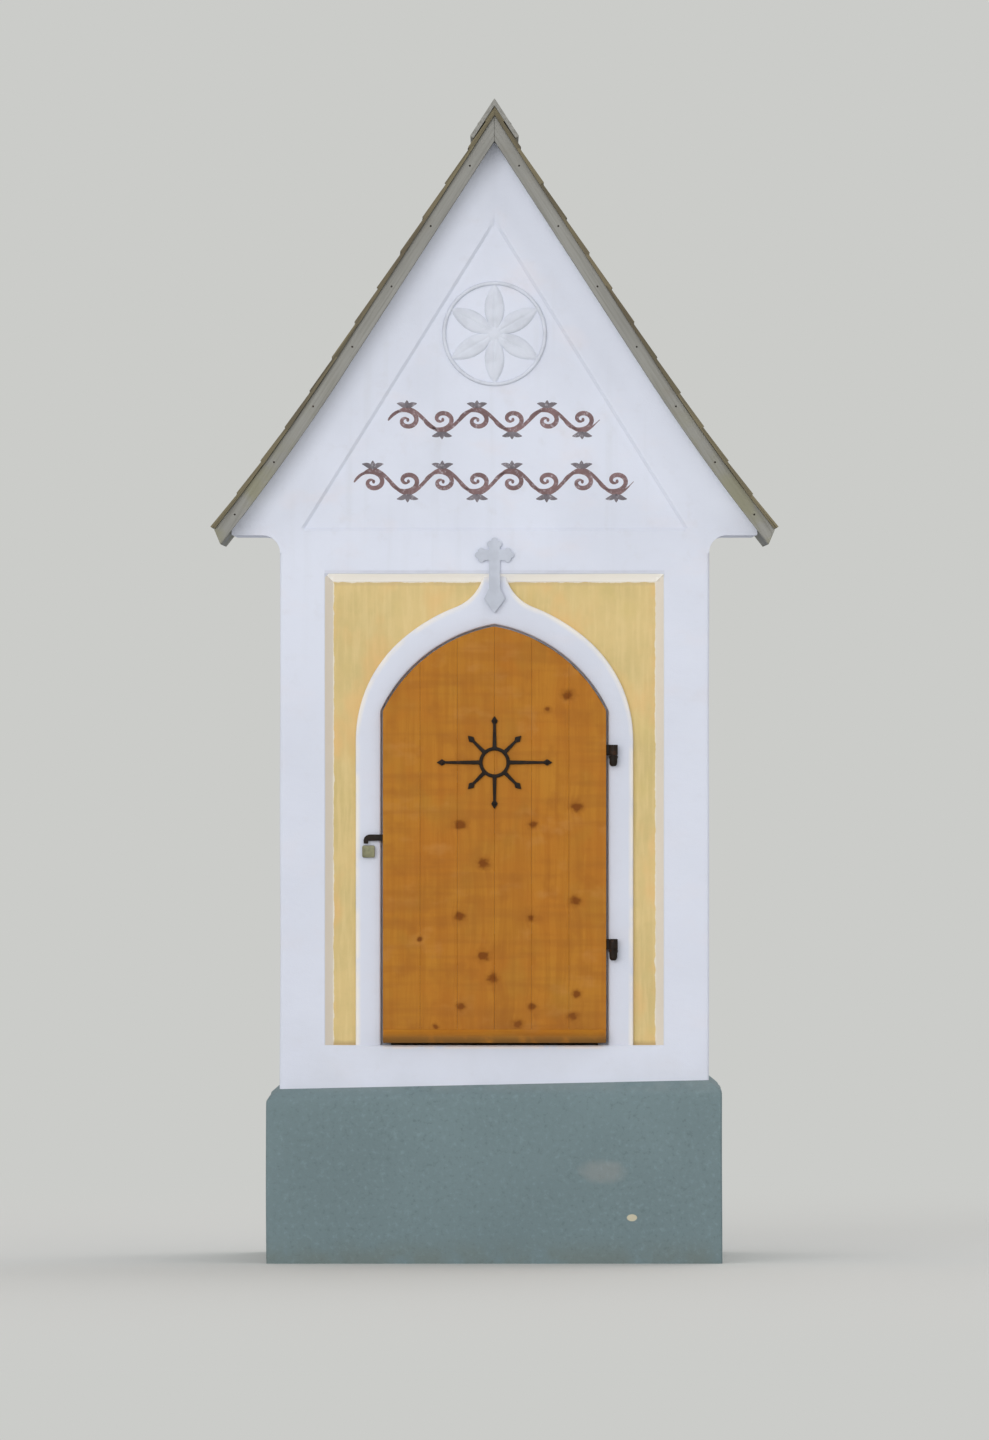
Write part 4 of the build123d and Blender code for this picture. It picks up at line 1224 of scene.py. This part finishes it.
class SHRINE_OT_door(bpy.types.Operator):
    """Door: boards, their faces cut into strips, that rise to the pointed arch, with ledges, a brace and a
    weatherboard."""

    bl_idname = "shrine.door"
    bl_label = "Door"

    def execute(self, context):
        sizes = context.scene.shrine_door
        width = 2 * door_half / sizes.boards
        corner_radius = 0.0005
        strip_inset = 0.006
        strip_ends = 8
        levels = np.linspace(0.0, 1.0, 16)[:, None]
        parts = []
        for board in range(sizes.boards):
            left = -door_half + board * width
            gap_left = sizes.joint / 2 if board else 0.0
            gap_right = sizes.joint / 2 if board < sizes.boards - 1 else 0.0
            front_step = 0.0002 * (-1) ** board
            face = door_front + abs(front_step) - front_step
            corners = board_plan(left + gap_left, left + width - gap_right, face, door_back, corner_radius)
            strips = np.linspace(left + strip_inset, left + width - strip_inset, strip_ends)
            plan = np.vstack([
                points_of(strips, face),
                *corners[:2],
                points_of(strips[::-1], door_back),
                *corners[2:],
            ])
            top = arch_z + np.sqrt(arch_radius**2 - (np.abs(plan[:, 0]) - arch_x) ** 2)
            heights = door_bottom + levels * (top - door_bottom)
            parts.append(tube(points_of(plan[:, 0], plan[:, 1], heights)))
        upright = pine("door_pine", width)
        build("door_boards", joined(parts), upright, ["door_leaf"], "door", turn=35.0)
        lying = pine("door_pine_lying", 0.5, upright=False)
        softened("weatherboard", "door_weatherboard", lying, "door", width=0.003, segments=3)
        for node in ("door_ledge_upper", "door_ledge_lower", "door_brace"):
            softened(node + "_wood", node, lying, "door", width=0.002)
        return {"FINISHED"}


def nail(place, facing, radius, rise):
    """A nail's head on a face: part of a ball on a short rim, its axis along the way the face looks."""
    facing = np.array(facing, dtype=float)
    aside = np.cross(facing, (0.0, 1.0, 0.0) if abs(facing[1]) < 0.5 else (0.0, 0.0, 1.0))
    aside /= np.linalg.norm(aside)
    other = np.cross(facing, aside)
    ring = once_round(12)[None, :, None]
    lift = np.array([-0.35, 0.0, 0.5, 0.85, 1.0])[:, None, None] * rise
    spread = np.array([1.0, 1.0, 0.85, 0.5, 0.12])[:, None, None] * radius
    return tube(np.array(place) + facing * lift + spread * (aside * np.cos(ring) + other * np.sin(ring)))


def turned(x, y, radius, shares, heights):
    """A bar turned about an upright line: circles of shares of a radius at heights, filled at both ends."""
    ring = once_round(28)
    radii = np.array(shares)[:, None] * radius
    heights = np.array(heights)[:, None]
    return tube(points_of(x + radii * np.cos(ring), y + radii * np.sin(ring), heights))


def pintle_shape(eye, pintle):
    """A forged pintle: a round knuckle with a drawn-in foot, its pin in the eye, a web, and a wall plate
    that tapers down to a half circle and has a bevelled front edge."""
    x = high(eye).x - EYE_RADIUS
    y = low(eye).y + EYE_RADIUS
    foot = low(pintle).z
    seat = low(eye).z - EYE_SEAT
    tip = high(pintle).z
    knuckle = turned(x, y, KNUCKLE_RADIUS, [0.30, 0.62, 0.86, 0.97, 1.0, 1.0, 0.95],
                     [foot, foot + 0.001, foot + 0.004, foot + 0.008, foot + 0.012, seat - 0.0008, seat])
    pin = turned(x, y, PIN_RADIUS, [1.0, 1.0, 0.85, 0.4], [seat - 0.002, tip - 0.002, tip - 0.0008, tip])
    web_x = x + np.array([-1.0, 1.0, 1.0, -1.0]) * PINTLE_WEB / 2
    web_y = np.array([y, y, surround_front, surround_front])
    web = tube(points_of(web_x, web_y, np.array([[foot + 0.004], [seat - 0.001]])))
    plate_x, half = (values[0] for values in middle_and_half(pintle))
    half_foot = half * 0.62
    outline = np.vstack([
        arc_run((0.0, foot + half_foot), half_foot, pi, 2 * pi, 13, whole=True),
        [(half, seat - 0.004), (half - 0.002, seat), (0.002 - half, seat), (-half, seat - 0.004)],
    ])
    outline_x, outline_z = outline.T
    middle_z = (foot + seat) / 2
    plate_front = surround_front - PINTLE_PLATE
    plate = np.stack([
        points_of(plate_x + outline_x * share, depth, middle_z + (outline_z - middle_z) * share)
        for share, depth in ((1.0, surround_front), (1.0, plate_front + 0.001), (0.93, plate_front))
    ])
    return joined([knuckle, pin, web, tube(plate)])


class SHRINE_OT_ironwork(bpy.types.Operator):
    """Ironwork: the sun, the latch, the keeper's case, the hinges, and nails in the sun and the ledges."""

    bl_idname = "shrine.ironwork"
    bl_label = "Ironwork"

    def execute(self, context):
        black = iron("black_iron")
        softened("iron_sun", "door_sun", black, "door", width=0.0012)
        softened("latch_bar_iron", "latch_bar", black, "door", width=0.0010)
        softened("keeper_case", "latch_keeper", zinc_case(), "masonry", width=0.0025,
                 segments=3)
        for place in ("upper", "lower"):
            eye, pintle = "hinge_eye_" + place, "pintle_" + place
            softened("hinge_eye_iron_" + place, eye, black, "door", width=0.0012, segments=3)
            build("pintle_iron_" + place, pintle_shape(eye, pintle), black, [pintle])
        middle, half = middle_and_half("door_sun")
        face = low("door_sun").y
        from_tip = 0.015
        ends = [(half[0] - from_tip, 0.0), (0.0, half[2] - from_tip)]
        heads = [nail((way * x, face, middle[2] + way * z), (0, -1, 0), radius=0.0045, rise=0.003)
                 for x, z in ends for way in (-1, 1)]
        board_width = 2 * door_half / context.scene.shrine_door.boards
        from_end = 0.055
        nail_rows = (0.022, 0.068)
        for place in ("upper", "lower"):
            ledge_low, ledge_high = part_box("door_ledge_" + place)
            across = np.arange(ledge_low.x + from_end, ledge_high.x, board_width)
            heads += [nail((x, ledge_high.y, ledge_low.z + up), (0, 1, 0), radius=0.0035, rise=0.0015)
                      for x in across for up in nail_rows]
        build("door_nails", joined(heads), black, body="door", turn=60.0)
        return {"FINISHED"}


def slope_run(above):
    """Places down the right slope on a surface, with the distance travelled from the ridge."""
    x = np.linspace(0.0, cad_high.x - EAVES_TIP_SLANT * (1 - above / (BOARDING + SHINGLING)), 500)
    z = roof_height(x, above)
    travelled = np.concatenate([[0.0], np.cumsum(np.hypot(np.diff(x), np.diff(z)))])
    return x, z, travelled


def on_slope(slope, travel, above):
    """Places a distance down the right slope and a height square to it, or at the ridge straight up."""
    x, z, travelled = slope
    step = 0.01
    fall = np.interp(travel - step, travelled, z) - np.interp(travel + step, travelled, z)
    reach = np.interp(travel + step, travelled, x) - np.interp(travel - step, travelled, x)
    tilt = np.arctan2(fall, reach)
    at_ridge = travel == 0.0
    aside = np.where(at_ridge, 0.0, above * np.sin(tilt))
    upward = np.where(at_ridge, above / cos(ROOF_PITCH), above * np.cos(tilt))
    return np.interp(travel, travelled, x) + aside, np.interp(travel, travelled, z) + upward


def wedge_corners(slope, head, butt, edges):
    """Eight corners of each wedge of a course: at its head and its butt, under and over, near and far."""
    places = []
    for travel, under, over in (head, butt):
        for above in (under, over):
            side_x, side_z = on_slope(slope, travel, above)
            places += [points_of(side_x, y, side_z) for y in edges]
    return np.stack(places, axis=1)


class SHRINE_OT_shingles(bpy.types.Operator):
    """Shingles: courses of tapered wedges down each slope, each wedge eight corners set by its course, its
    place along the course and a small seeded stray; the last course is a short starter under the eaves."""

    bl_idname = "shrine.shingles"
    bl_label = "Shingle roof"

    def execute(self, context):
        sizes = context.scene.shrine_roof
        draw = np.random.default_rng(5)
        y_low, y_high = (corner.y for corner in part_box("roof_shingles_right"))
        slope = slope_run(BOARDING)
        whole = slope[2][-1]
        courses = round(whole / sizes.exposure)
        exposure = whole / courses
        longest = exposure * 2.1
        starter_length = exposure * 1.2
        starter_back = 0.003
        thin_top = 0.0035
        width_spread = (0.7, 1.35)
        joint_half = (0.0004, 0.0012)
        end_stray = (0.0, 0.003)
        butt_stray = (-0.004, 0.003)
        settling = (-0.0008, 0.0)
        wedge = [[0, 1, 3, 2], [4, 6, 7, 5], [0, 2, 6, 4], [1, 5, 7, 3], [2, 3, 7, 6], [0, 4, 5, 1]]
        material = shingle_wood()
        for side, way in (("left", -1.0), ("right", 1.0)):
            rows = []
            tones = []
            for course in range(-1, courses + 1):
                count = round((y_high - y_low) / sizes.shingle_width)
                widths = draw.uniform(*width_spread, count)
                stops = np.concatenate([[0.0], np.cumsum(widths)]) / widths.sum()
                stops = y_low + stops * (y_high - y_low)
                y_near = stops[:-1] + draw.uniform(*joint_half, count)
                y_far = stops[1:] - draw.uniform(*joint_half, count)
                y_near[0] += draw.uniform(*end_stray)
                y_far[-1] -= draw.uniform(*end_stray)
                stray = draw.uniform(*butt_stray, count) * (0 <= course < courses - 1)
                lift = draw.uniform(*settling, count)
                starter = course == courses
                lowest = whole - starter_back * starter
                butt = np.clip((course + 1) * exposure, exposure * 0.25, lowest) + stray
                head = np.maximum(butt - (starter_length if starter else longest), 0.0)
                thinning = 1 - (butt - head) / longest
                butt_top = SHINGLING - (sizes.butt + 0.001 if starter else 0.0) + lift
                butt_under = (SHINGLING - sizes.butt + lift) * (course == courses - 1)
                head_top = thin_top + (butt_top - thin_top) * thinning
                rows.append(wedge_corners(slope, (head, butt_under * thinning, head_top),
                                          (butt, butt_under, butt_top), (y_near, y_far)))
                tones.append(draw.uniform(0.0, 1.0, count))
            corners = np.concatenate(rows) * (way, 1.0, 1.0)
            faces = (np.arange(len(corners))[:, None, None] * 8 + np.array(wedge)).reshape(-1, 4).tolist()
            piece = build("shingles_" + side, (corners.reshape(-1, 3), faces), material,
                          ["roof_shingles_" + side], turn=20.0)
            mark(piece, "tone", np.repeat(np.concatenate(tones), 8))
        return {"FINISHED"}


class SHRINE_OT_roof_timber(bpy.types.Operator):
    """Roof timber: bargeboards with nails, the boarding under the shingles and the ridge boards."""

    bl_idname = "shrine.roof_timber"
    bl_label = "Roof timber"

    def execute(self, context):
        along_slope = weathered_timber("verge_timber")
        along_ridge = weathered_timber("ridge_timber", across_ridge=False)
        for side in ("left", "right"):
            coat("roof_boards_" + side, along_ridge)
            for end in ("front", "back"):
                node = f"bargeboard_{end}_{side}"
                softened(f"verge_{end}_{side}", node, along_slope, "masonry", width=0.002)
        softened("ridge_boards", "ridge_cap", along_ridge, "masonry", width=0.0025)
        verges = ((low("bargeboard_front_right").y, -1), (high("bargeboard_back_right").y, 1))
        heads = [nail((side * x, y, float(roof_height(x, BOARDING * 0.5))), (0, end, 0), radius=0.0028,
                      rise=0.0014)
                 for y, end in verges for x in np.linspace(0.07, 0.74, 7) for side in (-1, 1)]
        ridge_low, ridge_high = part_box("ridge_cap")
        from_end = 0.05
        from_edge = 0.024
        x = ridge_high.x - from_edge
        z = ridge_high.z - x * tan(ROOF_PITCH)
        out, up = sin(ROOF_PITCH), cos(ROOF_PITCH)
        heads += [nail((side * x, y, z), (side * out, 0, up), radius=0.0035, rise=0.0016)
                  for y in np.linspace(ridge_low.y + from_end, ridge_high.y - from_end, 7)
                  for side in (-1, 1)]
        build("roof_nails", joined(heads), iron("nail_iron"), turn=60.0)
        return {"FINISHED"}


class SHRINE_OT_stage(bpy.types.Operator):
    """Stage: a pale floor, an even sky, soft key, fill and rear lights, and the camera."""

    bl_idname = "shrine.stage"
    bl_label = "Stage"

    def execute(self, context):
        scene = context.scene
        stage = scene.shrine_stage
        backdrop = (*stage.backdrop, 1.0)
        finish = Finish("stage_floor")
        finish.done(stage.floor, 0.95)
        near, far = 2.6, 9.0
        distant = finish.node("ShaderNodeEmission", None, backdrop, 1.0)
        surface = finish.node("ShaderNodeMixShader", None, finish.span(finish.place).rise(near, far),
                              Wire(finish, finish.shader.outputs["BSDF"]), distant)
        finish.feed(finish.tree.nodes["Material Output"].inputs["Surface"], surface)
        reach = 400.0
        corners = 64
        ring = once_round(corners)
        places = points_of(reach * np.cos(ring), reach * np.sin(ring), 0.0)
        floor_mesh = bpy.data.meshes.new("stage_floor")
        floor_mesh.from_pydata(places.tolist(), [], [row_face(0, corners)])
        floor_mesh.materials.append(finish.material)
        new_object("stage_floor", floor_mesh)

        scene.world = bpy.data.worlds.new("even_sky")
        scene.world.use_nodes = True
        tree = scene.world.node_tree
        sky = tree.nodes["Background"]
        sky.inputs["Color"].default_value = (1.0, 1.0, 1.0, 1.0)
        sky.inputs["Strength"].default_value = stage.sky_strength
        seen = tree.nodes.new("ShaderNodeBackground")
        seen.inputs["Color"].default_value = backdrop
        path = tree.nodes.new("ShaderNodeLightPath")
        either = tree.nodes.new("ShaderNodeMath")
        either.operation = "MAXIMUM"
        blend = tree.nodes.new("ShaderNodeMixShader")
        for source, target in (
            (path.outputs["Is Camera Ray"], either.inputs[0]),
            (path.outputs["Is Glossy Ray"], either.inputs[1]),
            (either.outputs[0], blend.inputs[0]),
            (sky.outputs[0], blend.inputs[1]),
            (seen.outputs[0], blend.inputs[2]),
            (blend.outputs[0], tree.nodes["World Output"].inputs["Surface"]),
        ):
            tree.links.new(source, target)

        for name, azimuth, elevation, strength, softness in (
            ("key", -20.0, 8.0, stage.key_strength, 46.0),
            ("fill", 34.0, 6.0, stage.key_strength * 0.19, 60.0),
            ("rear", 152.0, 40.0, stage.key_strength * 0.42, 60.0),
        ):
            light = bpy.data.lights.new(name, "SUN")
            light.energy = strength
            light.angle = radians(softness)
            new_object(name, light).rotation_euler = (radians(90.0 - elevation), 0.0, radians(azimuth))

        camera = bpy.data.cameras.new("camera")
        camera.lens = stage.focal_length
        camera.sensor_width = 36.0
        camera.clip_end = 1000.0
        eye = new_object("camera", camera)
        eye.location = (0.0, front - stage.camera_distance, stage.camera_height)
        tilt = atan2(stage.camera_distance, stage.camera_height - stage.aim_height)
        eye.rotation_euler = (tilt, 0.0, 0.0)
        scene.camera = eye
        scene.view_settings.view_transform = "Standard"
        return {"FINISHED"}


class SHRINE_PT_panel(bpy.types.Panel):
    """Lists the shrine's pieces and their sizes."""

    bl_idname = "SHRINE_PT_panel"
    bl_label = "Wayside Shrine"
    bl_space_type = "VIEW_3D"
    bl_region_type = "UI"
    bl_category = "Shrine"

    def draw(self, context):
        for group, operators in PIECES:
            box = self.layout.box()
            settings = getattr(context.scene, group)
            for key in settings.__annotations__:
                box.prop(settings, key)
            for operator in operators:
                box.operator(operator.bl_idname)


PIECES = [
    ("shrine_render", [SHRINE_OT_plinth, SHRINE_OT_walls, SHRINE_OT_niche, SHRINE_OT_surround,
                       SHRINE_OT_field, SHRINE_OT_gables, SHRINE_OT_cornices, SHRINE_OT_rosette,
                       SHRINE_OT_scrolls]),
    ("shrine_door", [SHRINE_OT_door, SHRINE_OT_ironwork]),
    ("shrine_roof", [SHRINE_OT_shingles, SHRINE_OT_roof_timber]),
    ("shrine_stage", [SHRINE_OT_stage]),
]
SETTINGS = {
    "shrine_render": ShrineRenderSettings,
    "shrine_door": ShrineDoorSettings,
    "shrine_roof": ShrineRoofSettings,
    "shrine_stage": ShrineStageSettings,
}
OPERATORS = [operator for _, operators in PIECES for operator in operators]
CLASSES = [*SETTINGS.values(), *OPERATORS, SHRINE_PT_panel]


def register():
    for one in CLASSES:
        bpy.utils.register_class(one)
    for key, settings in SETTINGS.items():
        setattr(bpy.types.Scene, key, PointerProperty(type=settings))


def unregister():
    for key in SETTINGS:
        delattr(bpy.types.Scene, key)
    for one in reversed(CLASSES):
        bpy.utils.unregister_class(one)


def main():
    """Makes every piece in order."""
    register()
    for operator in OPERATORS:
        name = operator.bl_idname.split(".")[1]
        getattr(bpy.ops.shrine, name)()


if __name__ == "__main__":
    main()
